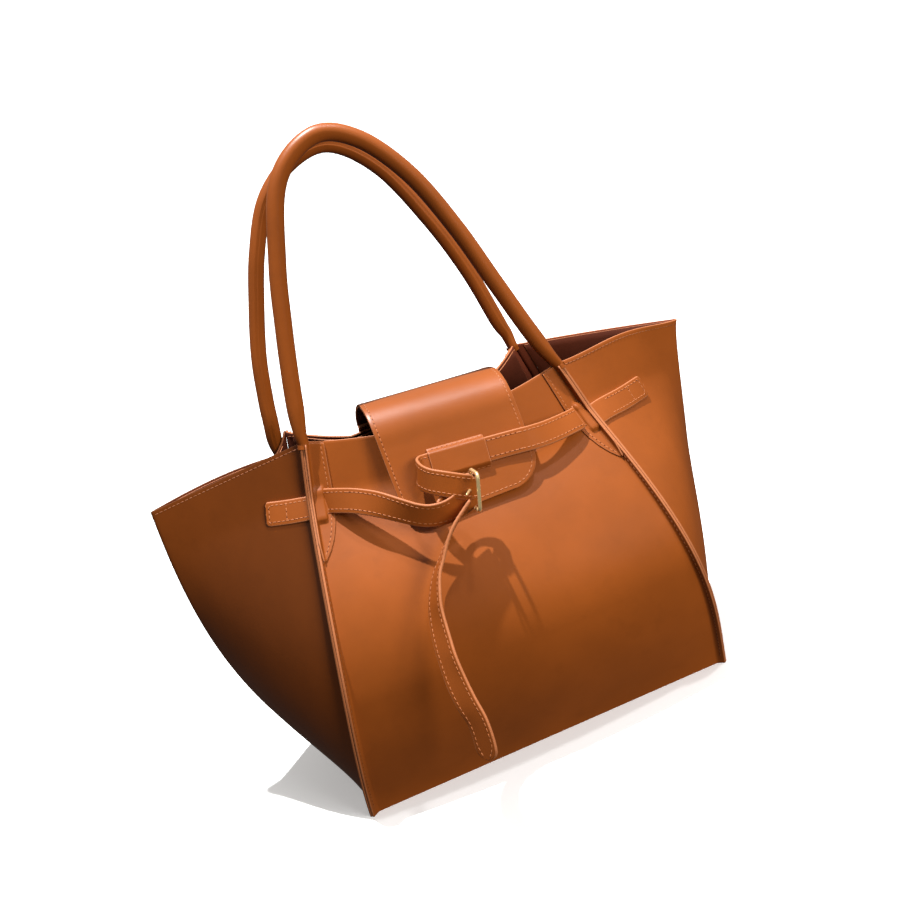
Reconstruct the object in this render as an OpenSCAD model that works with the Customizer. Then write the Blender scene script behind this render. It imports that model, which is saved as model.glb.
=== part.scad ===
// Trapeze bag in smooth leather: flared side gussets, a flap with a keeper,
// a belt with a pin buckle and two rolled handles.
// X runs left to right, Y front to back, Z up; the origin is the middle of the base.

/* [Body] */
// Width of the base
base_w = 320; // [310:2:330]
// Depth of the base
base_d = 178; // [174:1:182]
// Height of the corner seams
body_h = 302; // [296:1:308]
// Distance between the corner seams at the rim
top_w = 218; // [214:1:222]
// Depth between the front and rear corner seams at the rim
top_d = 106; // [102:1:110]
// How far the corner seams belly out
belly = 45; // [40:1:48]
// How much further the middle of a panel swells
panel_swell = 13; // [9:1:15]
// Sag of the front rim at its middle
front_sag = 14; // [10:1:16]
// Sag of the rear rim at its middle, under the flap
rear_sag = 18; // [16:1:20]
// How far the flap draws the rear rim forward
rear_pull = 48; // [44:1:50]
// How much lower the front right corner hangs
corner_drop = 11; // [8:1:12]
// How much lower the rear left corner hangs
rear_drop = 4; // [2:1:6]
// How far the rear left corner spreads outwards at the rim
rear_spread = 9; // [5:1:10]
// Thickness of the body leather
leather_t = 2; // [1.8:0.1:2.2]
// Thickness of the lining
lining_t = 0.8; // [0.6:0.1:1]
// How far the corner seams stand out as ridges
ridge = 7; // [6:0.5:8]

/* [Wings] */
// Distance between the two wing tips
wing_span = 496; // [480:2:500]
// Height of the wing tips
wing_h = 281; // [276:1:286]
// How far the right wing is pressed in at half height
wing_dent = 18; // [12:1:20]
// How round the wings' cross-sections are at the base
wing_round = 0.6; // [0.4:0.05:0.8]
// How much the right wing's upper part bulges
wing_puff = 13; // [8:1:15]
// Height of the hump in the right wing's front lip
lip_hump = 6; // [3:1:8]
// How far the left wing's rear lip dips beside its corner
lip_dip = 19; // [10:1:20]

/* [Handles] */
// Diameter of the rolled leather tube
handle_d = 14; // [13:0.5:15]
// Diameter of the cord core
core_d = 9.6; // [9:0.1:9.8]
// Height of the handles' middle line at its highest point
handle_top = 522; // [505:1:530]
// How far a handle tab reaches over its panel
tab_w = 14; // [11:1:16]
// Thickness of a handle tab
tab_t = 1.4; // [1.2:0.1:1.6]

/* [Flap] */
// Width of the flap
flap_w = 116; // [112:1:118]
// Thickness of each of the flap's two layers
flap_t = 1.4; // [1.2:0.1:1.5]
// Corner radius of the flap
flap_r = 24; // [18:1:28]

/* [Belt] */
// Width of the straps
strap_w = 18; // [17:0.5:19]
// Thickness of the straps
strap_t = 2.4; // [2:0.1:2.6]
// Diameter of the punched holes
hole_d = 5; // [4:0.5:5]
// Height of the buckle frame
buckle_h = 32; // [31:0.5:34]
// Reach of the buckle frame
buckle_reach = 24; // [23.5:0.5:26]
// Diameter of the buckle wire
wire_d = 3; // [2.8:0.1:3.2]

/* [Hidden] */
tan = "sienna";
tan_dark = "saddlebrown";
inside = "maroon";
gold = "goldenrod";
left = -1;
right = 1;
front = -1;
rear = 1;
gap = 0.15;             // air between two leathers that lie on each other
belt_v = 0.86;          // height fraction where the belt draws the bag in
rows = 15;
panel_cols = 13;
wing_cols = 17;
board_t = 3;
floor_t = 2;
flap_u = 0.55;          // half width of the flap as a share of the panel's
flap_x = -0.5;
flap_tilt = 0.07;       // the flap hangs lower on its right side
hinge_at = [20.5, 285.8];
foot_r = 8.1;           // rolled end of a handle
foot_y = 57;
foot_gap = 0.4;
buckle_at = [-6, -118, 235];
buckle_tilt = 13.7;
bend_r = 4;             // corner radius of the buckle wire's middle line
run_gap = 0.06;         // running clearance on the heel bar
strap_gap = 0.4;        // air round a strap that lies on leather

function unit(v) = v / norm(v);
function flat(v) = unit([v.x, v.y, 0]);
function mix(a, b, t) = a + (b - a) * t;
function steps(n) = [for (i = [0:n - 1]) i / (n - 1)];

// Corner seams: side is left or right, face is front or rear, v runs from base to rim
function belly_at(v) = v < belt_v ? belly * pow(sin(180 * v / belt_v), 1.2) : 0;
function seam_x(v) = (base_w - (base_w - top_w) * pow(v, 1.6)) / 2;
function seam_y(v) = (base_d - (base_d - top_d) * v) / 2 + belly_at(v);
function corner_h(side, face) = body_h - (side != face ? (side == right ? corner_drop : rear_drop) : 0);
function corner_out(side, face) = side == right ? -2 : face == front ? 2 : rear_spread;
function seam(side, face, v) =
    [side * (seam_x(v) + corner_out(side, face) * pow(v, 4)), face * seam_y(v), corner_h(side, face) * v];

// Panels: u runs from -1 at the left seam to 1 at the right seam
function swell_at(v) = panel_swell * sin(90 * min(1, v / 0.35));
function panel(face, u, v) =
    let (m = mix(seam(left, face, v), seam(right, face, v), (u + 1) / 2),
        q = 1 - u * u, under_flap = min(1, q / (1 - flap_u * flap_u)),
        pull = face == rear ? rear_pull * under_flap * pow(v, 6) : 0,
        sag = face == rear ? rear_sag * under_flap : front_sag * q)
    [m.x, m.y + face * (swell_at(v) * q - pull), m.z - sag * pow(v, 4)];

// Gussets: w runs from -1 at the front seam over 0 at the wing's edge to 1 at the rear seam
function wing_edge(side, v) =
    let (out = (wing_span - base_w) / 2 * (1 - pow(1 - v, 2.7)),
        dent = side == right ? wing_dent * pow(sin(180 * v), 0.7) : 0)
    [side * (base_w / 2 + out - dent), 0, wing_h * v];
function gusset(side, w, v) =
    let (face = w < 0 ? front : rear, t = 1 - abs(w), s = seam(side, face, v),
        c = wing_edge(side, v), m = (s + c) / 2, round_off = wing_round * (1 - v * v),
        out = flat([side * abs(s.y), face * abs(c.x - s.x), 0]),
        puff = (side == right ? wing_puff : -4) * v,
        k = mix(m + out * puff, [c.x, s.y * 0.7, m.z], round_off),
        hump = side == right && face == front ? lip_hump * pow(sin(180 * t), 2) : 0,
        dip = side == left && face == rear ? lip_dip * pow(1 - t, 2.3) * min(1, t * 8) : 0)
    s * (1 - t) * (1 - t) + k * 2 * t * (1 - t) + c * t * t + [0, 0, (hump - dip) * pow(v, 6)];

// At each corner both leathers turn out along the ridge
function along_panel(side, face, v) = flat(panel(face, side * 0.8, v) - seam(side, face, v));
function along_gusset(side, face, v) = flat(gusset(side, face * 0.85, v) - seam(side, face, v));
function ridge_dir(side, face, v) = -unit(along_panel(side, face, v) + along_gusset(side, face, v));
function corner_shift(side, face, v) =
    let (a = along_panel(side, face, v), b = ridge_dir(side, face, v), c = a.x * b.y - a.y * b.x)
    (leather_t / 2 + gap) / abs(c);
function panel_corner(side, face, v) =
    seam(side, face, v) + along_panel(side, face, v) * corner_shift(side, face, v);
function gusset_corner(side, face, v) =
    seam(side, face, v) + along_gusset(side, face, v) * corner_shift(side, face, v);

// Rows of points across a panel or gusset, always anticlockwise seen from above
function inner_u(n) = [for (i = [1:n - 2]) -1 + 2 * i / (n - 1)];
function panel_row(face, v, flange) =
    let (a = face == front ? left : right, b = -a,
        pa = panel_corner(a, face, v), pb = panel_corner(b, face, v))
    concat(flange ? [pa + ridge_dir(a, face, v) * ridge] : [], [pa],
        [for (u = inner_u(panel_cols)) panel(face, -a * u, v)], [pb],
        flange ? [pb + ridge_dir(b, face, v) * ridge] : []);
function gusset_row(side, v, flange) =
    let (a = side == right ? front : rear, b = -a,
        pa = gusset_corner(side, a, v), pb = gusset_corner(side, b, v))
    concat(flange ? [pa + ridge_dir(side, a, v) * ridge] : [], [pa],
        [for (w = inner_u(wing_cols)) gusset(side, -a * w, v)], [pb],
        flange ? [pb + ridge_dir(side, b, v) * ridge] : []);

// Sideways offset of one point of a row, mitred at the folds
function side_of(a, b) = let (d = flat(b - a)) [d.y, -d.x, 0];
function miter(row, j) =
    let (n = len(row), a = side_of(row[max(0, j - 1)], row[max(1, j)]),
        b = side_of(row[min(n - 2, j)], row[min(n - 1, j + 1)]))
    (a + b) / max(0.6, 1 + a * b);
function offset_row(row, d) = [for (j = [0:len(row) - 1]) row[j] + miter(row, j) * d];
function offset_grid(grid, d) = [for (row = grid) offset_row(row, d)];

// Closed solid between two equal grids of points
module between(outer, inner) {
    r = len(outer);
    c = len(outer[0]);
    n = r * c;
    function o(i, j) = i * c + j;
    function quad(a, b, d, e) = [[a, b, d], [a, d, e]];
    faces = [
        for (i = [0:r - 2], j = [0:c - 2]) each concat(
            quad(o(i, j), o(i + 1, j), o(i + 1, j + 1), o(i, j + 1)),
            quad(n + o(i, j), n + o(i, j + 1), n + o(i + 1, j + 1), n + o(i + 1, j))),
        for (j = [0:c - 2]) each concat(
            quad(o(0, j), o(0, j + 1), n + o(0, j + 1), n + o(0, j)),
            quad(o(r - 1, j + 1), o(r - 1, j), n + o(r - 1, j), n + o(r - 1, j + 1))),
        for (i = [0:r - 2]) each concat(
            quad(o(i + 1, 0), o(i, 0), n + o(i, 0), n + o(i + 1, 0)),
            quad(o(i, c - 1), o(i + 1, c - 1), n + o(i + 1, c - 1), n + o(i, c - 1)))];
    polyhedron(concat([for (row = outer) each row], [for (row = inner) each row]), faces, 4);
}

// A sheet that lies between two sideways offsets of a grid
module sheet(grid, near, far) {
    between(offset_grid(grid, far), offset_grid(grid, near));
}

// Smooth curve through hand-placed points
function spline_pt(p, i, t) =
    let (n = len(p), a = p[max(0, i - 1)], b = p[i], c = p[min(n - 1, i + 1)], d = p[min(n - 1, i + 2)])
    (b * 2 + (c - a) * t + (a * 2 - b * 5 + c * 4 - d) * t * t
        + (b * 3 - a - c * 3 + d) * t * t * t) / 2;
function spline(p, k) = concat(
    [for (i = [0:len(p) - 2], s = [0:k - 1]) spline_pt(p, i, s / k)], [p[len(p) - 1]]);

// The point at a length along a path, and the whole length
function length_to(p, n) = n <= 0 ? 0 : length_to(p, n - 1) + norm(p[n] - p[n - 1]);
function walk(p, s, i = 0) =
    let (d = norm(p[i + 1] - p[i]))
    s <= d || i >= len(p) - 2 ? p[i] + (p[i + 1] - p[i]) * s / d : walk(p, s - d, i + 1);

// Leather band along a path; the across vectors point over its width
function ahead_at(path, i) = unit(path[min(len(path) - 1, i + 1)] - path[max(0, i - 1)]);
function squared(path, across) = [
    for (i = [0:len(path) - 1]) let (a = ahead_at(path, i)) across[i] - a * (across[i] * a)];
function band_rows(path, across, widths, d) = [
    for (i = [0:len(path) - 1])
        let (w = unit(across[i]), n = unit(cross(w, ahead_at(path, i))))
        [path[i] - w * widths[i] / 2 + n * d, path[i] + w * widths[i] / 2 + n * d]];
module band(path, across, widths, near, far) {
    between(band_rows(path, across, widths, far), band_rows(path, across, widths, near));
}
module strap(path, across) {
    band(path, across, [for (p = path) strap_w], -strap_t / 2, strap_t / 2);
}

// Round bar along a path near an upright plane, with one radius for each ring
function rings(path, radii, sides) = [
    for (i = [0:len(path) - 1])
        let (a = ahead_at(path, i), b = unit(cross(a, [0, 1, 0])), c = cross(a, b))
        for (k = [0:sides - 1])
            path[i] + (b * cos(360 * k / sides) + c * sin(360 * k / sides)) * radii[i]];
function skin(n, sides, first, flip) = [
    for (i = [0:n - 2], k = [0:sides - 1])
        let (a = first + i * sides + k, b = first + i * sides + (k + 1) % sides)
        each flip ? [[a, b + sides, a + sides], [a, b, b + sides]]
            : [[a, a + sides, b + sides], [a, b + sides, b]]];
module bar(path, r, sides) {
    n = len(path);
    polyhedron(rings(path, [for (p = path) r], sides), concat(
        [[for (k = [0:sides - 1]) k]], skin(n, sides, 0, false),
        [[for (k = [sides - 1:-1:0]) (n - 1) * sides + k]]), 4);
}
module pipe(path, outer, inner, sides) {
    n = len(path);
    m = n * sides;
    e = (n - 1) * sides;
    polyhedron(concat(rings(path, outer, sides), rings(path, inner, sides)), concat(
        skin(n, sides, 0, false), skin(n, sides, m, true),
        [for (k = [0:sides - 1]) let (j = (k + 1) % sides)
            each [[k, j, m + j], [k, m + j, m + k],
                [e + k, m + e + j, e + j], [e + k, m + e + k, m + e + j]]]), 4);
}

// Points on a body sheet at a height, by column number
function grid_at(g, i, j) =
    let (a = min(floor(i), len(g) - 2), b = min(floor(j), len(g[0]) - 2), s = i - a, t = j - b)
    mix(mix(g[a][b], g[a][b + 1], t), mix(g[a + 1][b], g[a + 1][b + 1], t), s);
function on_grid(g, j, z) =
    let (top = grid_at(g, rows - 1, j).z) grid_at(g, (rows - 1) * min(1, z / top), j);

front_grid = [for (v = steps(rows)) panel_row(front, v, true)];
rear_grid = [for (v = steps(rows)) panel_row(rear, v, true)];
left_grid = [for (v = steps(rows)) gusset_row(left, v, true)];
right_grid = [for (v = steps(rows)) gusset_row(right, v, true)];
panel_end = panel_cols + 1;
wing_end = wing_cols + 1;

// Straps sewn to the gussets: they pass the corner ridge in a slot, under the tab
function strap_mid(side, k) = side == right ? [245.5, 240, 241.5, 243.5, 245, 246][k]
    : [254.5, 252.5, 251, 249.5][k];
function strap_col(side, k, dz) =
    let (z = strap_mid(side, k) + dz)
    k == 0 ? on_grid(front_grid, side == right ? panel_end - 1.72 : 1.72, z)
        : k == 1 ? seam(side, front, z / corner_h(side, front))
            : on_grid(side == right ? right_grid : left_grid, side == right ? min(k, 4.6) : wing_end - k, z);
function strap_row(side, dz) = side == right ? [for (k = [0:5]) strap_col(side, k, dz)]
    : [for (k = [3:-1:0]) strap_col(side, k, dz)];
function strap_grid(side, w) = [for (dz = [-w / 2, 0, w / 2]) strap_row(side, dz)];
strap_near = leather_t / 2 + strap_gap;
module strap_end(side) {
    sheet(strap_grid(side, strap_w), strap_near, strap_near + strap_t);
}
function slot_row(side, dz) =
    let (r = strap_row(side, dz), s = side == right ? 1 : 2)
    [mix(r[s], r[s - 1], 0.35), r[s], mix(r[s], r[s + 1], 0.35)];
module ridge_slot(side) {
    sheet([for (dz = [-strap_w / 2 - 0.4, 0, strap_w / 2 + 0.4]) slot_row(side, dz)],
        leather_t / 2 + 0.05, strap_near + strap_t + strap_gap);
}
function strap_line(side, dz) = offset_row(strap_row(side, dz), strap_near + strap_t / 2);
function strap_exit(side) =
    let (r = strap_line(side, 0), e = side == right ? 0 : 3)
    r[e] + unit(r[e] - r[side == right ? 1 : 2]) * 1.2;
function strap_lean(side) =
    let (e = side == right ? 0 : 3) unit(strap_line(side, 9)[e] - strap_line(side, -9)[e]);

// Handle tabs: a pointed leaf over each panel end, raised where the strap passes below.
// i counts the rows of the panel that it lies on.
tab_i = [9.93, 10.2, 10.55, 11, 11.35, 11.7, 12, 12.4, 12.7, 13, 13.5, 13.95];
tab_air = 0.3;           // air under a front tab
rear_tab_air = 1.3;      // the rear panel twists more below its tabs
function tab_reach(i) = lookup(i, [[9.93, 0.05], [10.2, 0.38], [10.55, 0.66], [11, 0.88],
    [11.7, 1], [12.4, 1], [13.95, 0.86]]) * tab_w;
function tab_fin(i) = lookup(i, [[9.93, 0.3], [10.2, 0.6], [10.55, 0.95]]);
function tab_lift(side, face, z) =
    let (mid = side == right ? 242.5 : 253.5, d = abs(z - mid) - strap_w / 2 - 4)
    face == rear ? 0 : (strap_t + 3.5 * strap_gap) * (d < 0 ? 1 : max(0, 1 - d / 8));
function tab_row(side, face, i, d) =
    let (g = face == front ? front_grid : rear_grid, s = side * face > 0,
        f = grid_at(g, i, s ? 0 : panel_end), c = grid_at(g, i, s ? 1 : panel_end - 1),
        e = grid_at(g, i, s ? 2 : panel_end - 2), along = unit(e - c) * tab_reach(i),
        n = s ? side_of(f, c) : side_of(c, f), m = s ? side_of(c, e) : side_of(e, c),
        h = d + tab_lift(side, face, c.z), k = n * m, l = 1 - k * k,
        row = [c + (f - c) * tab_fin(i) + n * d, c + n * (d - h * k) / l + m * (h - d * k) / l,
            c + along / 2 + m * h, c + along + m * h])
    s ? row : [for (i = [3:-1:0]) row[i]];
module handle_tab(side, face) {
    near = leather_t / 2 + (face == rear ? rear_tab_air : tab_air);
    color(tan) between([for (i = tab_i) tab_row(side, face, i, near + tab_t)],
        [for (i = tab_i) tab_row(side, face, i, near)]);
}

// Handles: points of the middle line seen from the front, from the left foot to the right foot
foot_x = [[-120, 107], [-111, 107]];     // left and right, of the rear and of the front handle
rear_line = [[-126, 330], [-117, 368], [-104, 410], [-88, 453], [-66, 493], [-34, 517], [2, 521],
    [38, 490], [67, 434], [87, 380], [100, 328]];
front_line = [[-104, 352], [-95, 393], [-83, 440], [-61, 498], [-25, 522], [8, 510], [38, 473],
    [60, 424], [77, 373], [92, 328]];
function foot_pt(side, face) = [foot_x[face == rear ? 0 : 1][side == left ? 0 : 1],
    corner_h(side, face) + foot_gap + foot_r];
function raised(p) = [p.x, p.y > 400 ? p.y + (handle_top - 522) * min(1, (p.y - 400) / 100) : p.y];
function handle_path(face) =
    let (middle = [for (p = face == front ? front_line : rear_line) raised(p)],
        line = spline(concat([foot_pt(left, face)], middle, [foot_pt(right, face)]), 3))
    [for (p = line) [p.x, face * (foot_y - 7 * min(1, (p.y - 300) / 220)), p.y]];
end_drop = [0.94, 0.84, 0.6, 0.3];
function foot_down(path, d) = path + [0, 0, -foot_r * d];
function handle_line(face) =
    let (p = handle_path(face), e = p[len(p) - 1])
    concat([for (d = end_drop) foot_down(p[0], d)], p, [for (i = [3:-1:0]) foot_down(e, end_drop[i])]);
function end_r(d) = foot_r * sqrt(1 - d * d);
function both_ends(ends, n, middle) =
    let (k = len(ends)) concat(ends, [for (i = [1:n - 2 * k]) middle], [for (i = [k - 1:-1:0]) ends[i]]);
module handle_tube(face) {
    line = handle_line(face);
    n = len(line);
    ends = concat([for (d = end_drop) end_r(d)], [foot_r, (foot_r + handle_d / 2) / 2]);
    bore = (core_d / 2 + gap) / cos(15);
    color(tan) pipe(line, both_ends(ends, n, handle_d / 2), both_ends([1.6, 1.6, 3.4], n, bore), 12);
}
module handle_core(face) {
    color(tan_dark) bar(handle_path(face), core_d / 2, 8);
}

module front_panel() {
    color(tan) difference() {
        sheet(front_grid, -leather_t / 2, leather_t / 2);
        ridge_slot(left);
        ridge_slot(right);
    }
}
module rear_panel() { color(tan) sheet(rear_grid, -leather_t / 2, leather_t / 2); }
module left_gusset() {
    color(tan) difference() {
        sheet(left_grid, -leather_t / 2, leather_t / 2);
        ridge_slot(left);
    }
}
module right_gusset() {
    color(tan) difference() {
        sheet(right_grid, -leather_t / 2, leather_t / 2);
        ridge_slot(right);
    }
}

// Base: a leather floor between the walls with a stiffening board on it
inset = leather_t / 2 + gap;
module base_panel() {
    color(tan) translate([-base_w / 2 + inset, -base_d / 2 + inset, 0])
        cube([base_w - 2 * inset, base_d - 2 * inset, floor_t]);
}
module base_board() {
    edge = inset + lining_t + 2;
    color(tan_dark) translate([-base_w / 2 + edge, -base_d / 2 + edge, floor_t + gap])
        cube([base_w - 2 * edge, base_d - 2 * edge, board_t]);
}

// Linings lie on the inside of each wall, above the board, and stop short of the corners
module lining(grid, air) {
    n = len(grid[0]);
    heights = concat([0.28], [for (k = [1:rows - 1]) k]);
    cols = concat([1.25], [for (j = [2:n - 3]) j], [n - 2.25]);
    near = -leather_t / 2 - air;
    color(inside) sheet([for (i = heights) [for (j = cols) grid_at(grid, i, j)]], near - lining_t, near);
}
module front_lining() { lining(front_grid, 0.4); }
module rear_lining() { lining(rear_grid, 1.4); }
module left_gusset_lining() { lining(left_grid, 0.6); }
module right_gusset_lining() { lining(right_grid, 0.6); }

module front_left_handle_tab() { handle_tab(left, front); }
module front_right_handle_tab() { handle_tab(right, front); }
module rear_left_handle_tab() { handle_tab(left, rear); }
module rear_right_handle_tab() { handle_tab(right, rear); }
module front_handle_tube() { handle_tube(front); }
module front_handle_core() { handle_core(front); }
module rear_handle_tube() { handle_tube(rear); }
module rear_handle_core() { handle_core(rear); }

// Flap: sewn to the rear panel below the hinge line, then over the mouth and down
module flap_seat() {
    grid = [for (i = [12, 13, 13.96]) [for (j = [4:10]) grid_at(rear_grid, i, j)]];
    near = leather_t / 2 + strap_gap;
    color(tan) sheet(grid, near, near + 2 * flap_t);
}
flap_points = [hinge_at, [11, 293.5], [-8, 301.5], [-29, 306.5], [-45, 307.5], [-58, 305], [-68, 298.5],
    [-75, 288], [-79, 274], [-84, 255], [-90, 236], [-97, 216]];
flap_line = [for (p = spline(flap_points, 4)) [flap_x, p.x, p.y]];
flap_len = length_to(flap_line, len(flap_line) - 1);
flap_s = concat([for (s = steps(17)) s * (flap_len - flap_r)],
    [for (a = [25, 45, 62, 78, 90]) flap_len - flap_r * (1 - sin(a))]);
function flap_width(s) =
    let (d = s - flap_len + flap_r) d <= 0 ? flap_w : flap_w - 2 * flap_r + 2 * sqrt(flap_r * flap_r - d * d);
module flap_layer(near, far) {
    path = [for (s = flap_s) walk(flap_line, s)];
    band(path, squared(path, [for (s = flap_s) [-1, 0, flap_tilt * min(1, s / 60)]]), [for (s = flap_s) flap_width(min(s, flap_len - 0.001))], near, far);
}
module flap() { color(tan) flap_layer(gap / 2, gap / 2 + flap_t); }
module flap_lining() { color(tan_dark) flap_layer(-gap / 2 - flap_t, -gap / 2); }

// Keeper: a band sewn to the flap along its top and bottom, open at both sides
keeper_at = [1, -88.2, 253.5];
keeper_lean = -15.7;
keeper_turn = 5.1;
keeper_size = [52, 6.4, 27];
keeper_wall = 1.6;
module flap_keeper() {
    slot_t = strap_t + 0.8;
    color(tan) translate(keeper_at) rotate([keeper_lean, keeper_turn, 0]) difference() {
        translate([-keeper_size.x / 2, -slot_t / 2 - keeper_wall, -keeper_size.z / 2])
            cube([keeper_size.x, slot_t + keeper_wall, keeper_size.z]);
        translate([-keeper_size.x, -slot_t / 2, -strap_w / 2 - 0.5])
            cube([keeper_size.x * 2, slot_t + 1, strap_w + 1]);
    }
}

module left_strap_end() { color(tan) strap_end(left); }
module right_strap_end() { color(tan) strap_end(right); }
module left_strap_run() {
    color(tan) strap(spline([strap_exit(left), [-97, -78, 251], [-79, -90, 243], [-61, -102, 233],
        [-46, -111, 228], [-37, -116, 228], [-31, -118.5, 230]], 2),
        spline([strap_lean(left), [0.1, 0.45, 0.9], [0.2, 0.2, 0.9], [0.2, 0, 0.9], [0, 0, 1],
            [-0.2, 0, 1], [-0.2, 0, 1]], 2));
}
module right_strap_run() {
    color(tan) strap(spline([strap_exit(right), [97, -76.5, 245.4], [76, -85, 246.4], [60, -89, 248],
        [47, -88.9, 249.4], [30, -88.4, 251]], 2),
        spline([strap_lean(right), [0, 0.5, 0.88], [0, 0.35, 0.93], [0, 0.28, 0.96], [0, 0.27, 0.96],
            [0, 0.27, 0.96]], 2));
}

// The right strap's free part: through the keeper, back round and through the buckle
fold_points = [[29, -88.2, 251], [1, -88.2, 253.5], [-28, -88.2, 256.1], [-34.5, -91, 256.4],
    [-38.5, -98, 255.3], [-38.5, -106, 253.5], [-34.5, -114, 250.5], [-27, -120.5, 247],
    [-18, -124, 242.5], [-8.5, -125.4, 238], [0, -126, 236], [5, -126.3, 235.6]];
fold_across = [[0, 0.27, 0.96], [0, 0.27, 0.96], [0.05, 0.27, 0.96], [0.2, 0.2, 0.95],
    [0.33, 0.1, 0.94], [0.33, 0, 0.94], [0.3, 0, 0.95], [0.3, 0, 0.95],
    [0.3, 0, 0.95], [0.25, 0, 0.97], [0.24, 0, 0.97], [0.24, 0, 0.97]];
module right_strap_fold() {
    color(tan) difference() {
        path = spline(fold_points, 2);
        strap(path, squared(path, spline(fold_across, 2)));
        at_buckle() prong_way() translate([0, 0, 5]) cylinder(d = hole_d, h = 8, $fn = 32);
    }
}
tail_points = [[-14.5, -130.5, 226.5], [-22, -131.5, 219], [-31, -133, 211], [-42, -136, 203],
    [-54, -142, 194], [-65, -150, 183], [-71, -156, 171], [-71.5, -160, 158], [-71, -164, 146],
    [-70, -170, 130], [-70, -177, 112], [-69, -185, 89], [-66, -190.5, 62]];
tail_across = [[0.1, -1, 0.1], [0.1, -1, 0.1], [0.15, -1, 0.1], [0.3, -0.9, 0.1], [0.5, -0.8, 0.1],
    [0.7, -0.7, 0.2], [0.85, -0.6, 0.1], [0.85, -0.6, 0], [0.8, -0.6, 0], [0.75, -0.65, 0],
    [0.7, -0.7, 0], [0.65, -0.75, 0], [0.6, -0.8, 0]];
module strap_tail() {
    path = spline(tail_points, 2);
    n = len(path);
    color(tan) band(path, squared(path, spline(tail_across, 2)),
        [for (i = [0:n - 1]) i == n - 1 ? strap_w * 0.6 : min(strap_w, 15.5 + i * 0.25)],
        -strap_t / 2, strap_t / 2);
}

// Buckle: heel bar along the local Z axis, frame reaching forward
module at_buckle() { translate(buckle_at) rotate([0, buckle_tilt, 0]) children(); }
module prong_way() { rotate([0, 0, -24]) rotate([90, 0, 0]) children(); }
wire_r = wire_d / 2;
module left_strap_loop() {
    r = wire_r + run_gap + 1.8;
    color(tan) at_buckle() difference() {
        translate([0, 0, -strap_w / 2]) union() {
            cylinder(r = r, h = strap_w, $fn = 48);
            linear_extrude(strap_w) polygon([[0, r], [-16, 1.9], [-16, -1.9], [0, -r]]);
        }
        cylinder(r = wire_r + run_gap, h = strap_w * 2, center = true, $fn = 48);
        linear_extrude(strap_w * 2, center = true) polygon([[-1, 1.3], [-11, 0.1], [-11, -0.1], [-1, -1.3]]);
        translate([-r - 1, -r - 1, -eye_h / 2 - 0.4]) cube([2 * r + 2, 2 * r + 2, eye_h + 0.8]);
    }
}
eye_h = 4.4;
eye_r = wire_r + run_gap + 1.4;
module buckle_frame() {
    h = buckle_h - wire_d;
    w = buckle_reach - wire_d;
    color(gold) at_buckle() translate([0, -w / 2, 0]) rotate([0, 90, 0]) {
        for (s = [-1, 1]) {
            translate([0, s * w / 2, 0]) rotate([0, 90, 0])
                cylinder(r = wire_r, h = h - 2 * bend_r, center = true, $fn = 48);
            translate([s * h / 2, 0, 0]) rotate([90, 0, 0])
                cylinder(r = wire_r, h = w - 2 * bend_r, center = true, $fn = 48);
        }
        for (a = [0, 90, 180, 270])
            translate([(a == 0 || a == 270 ? 1 : -1) * (h / 2 - bend_r), (a < 180 ? 1 : -1) * (w / 2 - bend_r), 0])
                rotate([0, 0, a]) rotate_extrude(angle = 90, $fn = 48)
                    translate([bend_r, 0]) circle(r = wire_r, $fn = 48);
    }
}
module buckle_prong() {
    reach = buckle_reach - 1;
    color(gold) at_buckle() difference() {
        union() {
            cylinder(r = eye_r, h = eye_h, center = true, $fn = 48);
            prong_way() cylinder(r1 = 1.3, r2 = 0.9, h = reach, $fn = 32);
            prong_way() translate([0, 0, reach]) sphere(r = 0.9, $fn = 32);
        }
        cylinder(r = wire_r + run_gap, h = eye_h * 2, center = true, $fn = 48);
    }
}

front_panel();
rear_panel();
left_gusset();
right_gusset();
base_panel();
base_board();
front_lining();
rear_lining();
left_gusset_lining();
right_gusset_lining();
front_left_handle_tab();
front_right_handle_tab();
rear_left_handle_tab();
rear_right_handle_tab();
front_handle_tube();
front_handle_core();
rear_handle_tube();
rear_handle_core();
flap_seat();
flap();
flap_lining();
flap_keeper();
left_strap_end();
left_strap_run();
left_strap_loop();
right_strap_end();
right_strap_run();
right_strap_fold();
strap_tail();
buckle_frame();
buckle_prong();
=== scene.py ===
"""Looks of the trapeze bag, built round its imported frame: leather walls, rolled handles,
a flap with its keeper, a belt with a pin buckle, and all their stitches."""

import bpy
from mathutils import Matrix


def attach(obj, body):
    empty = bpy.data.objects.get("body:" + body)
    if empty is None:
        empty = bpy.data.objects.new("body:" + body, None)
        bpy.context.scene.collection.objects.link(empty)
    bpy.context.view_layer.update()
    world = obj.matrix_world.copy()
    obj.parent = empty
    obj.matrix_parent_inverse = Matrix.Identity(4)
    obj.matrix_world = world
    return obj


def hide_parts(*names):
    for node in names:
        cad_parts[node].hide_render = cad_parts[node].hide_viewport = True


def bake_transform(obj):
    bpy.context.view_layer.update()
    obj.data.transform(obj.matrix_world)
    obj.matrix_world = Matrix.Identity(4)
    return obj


bl_info = {
    "name": "Trapeze bag",
    "version": (1, 0, 0),
    "blender": (4, 5, 0),
    "location": "View3D > Sidebar > Bag",
    "description": "Builds a leather trapeze bag with flared gussets, a flap and a belt",
    "category": "Add Mesh",
}

import math

import bpy
import numpy as np
from bpy.props import FloatProperty, FloatVectorProperty, PointerProperty
from mathutils import Matrix

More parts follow.
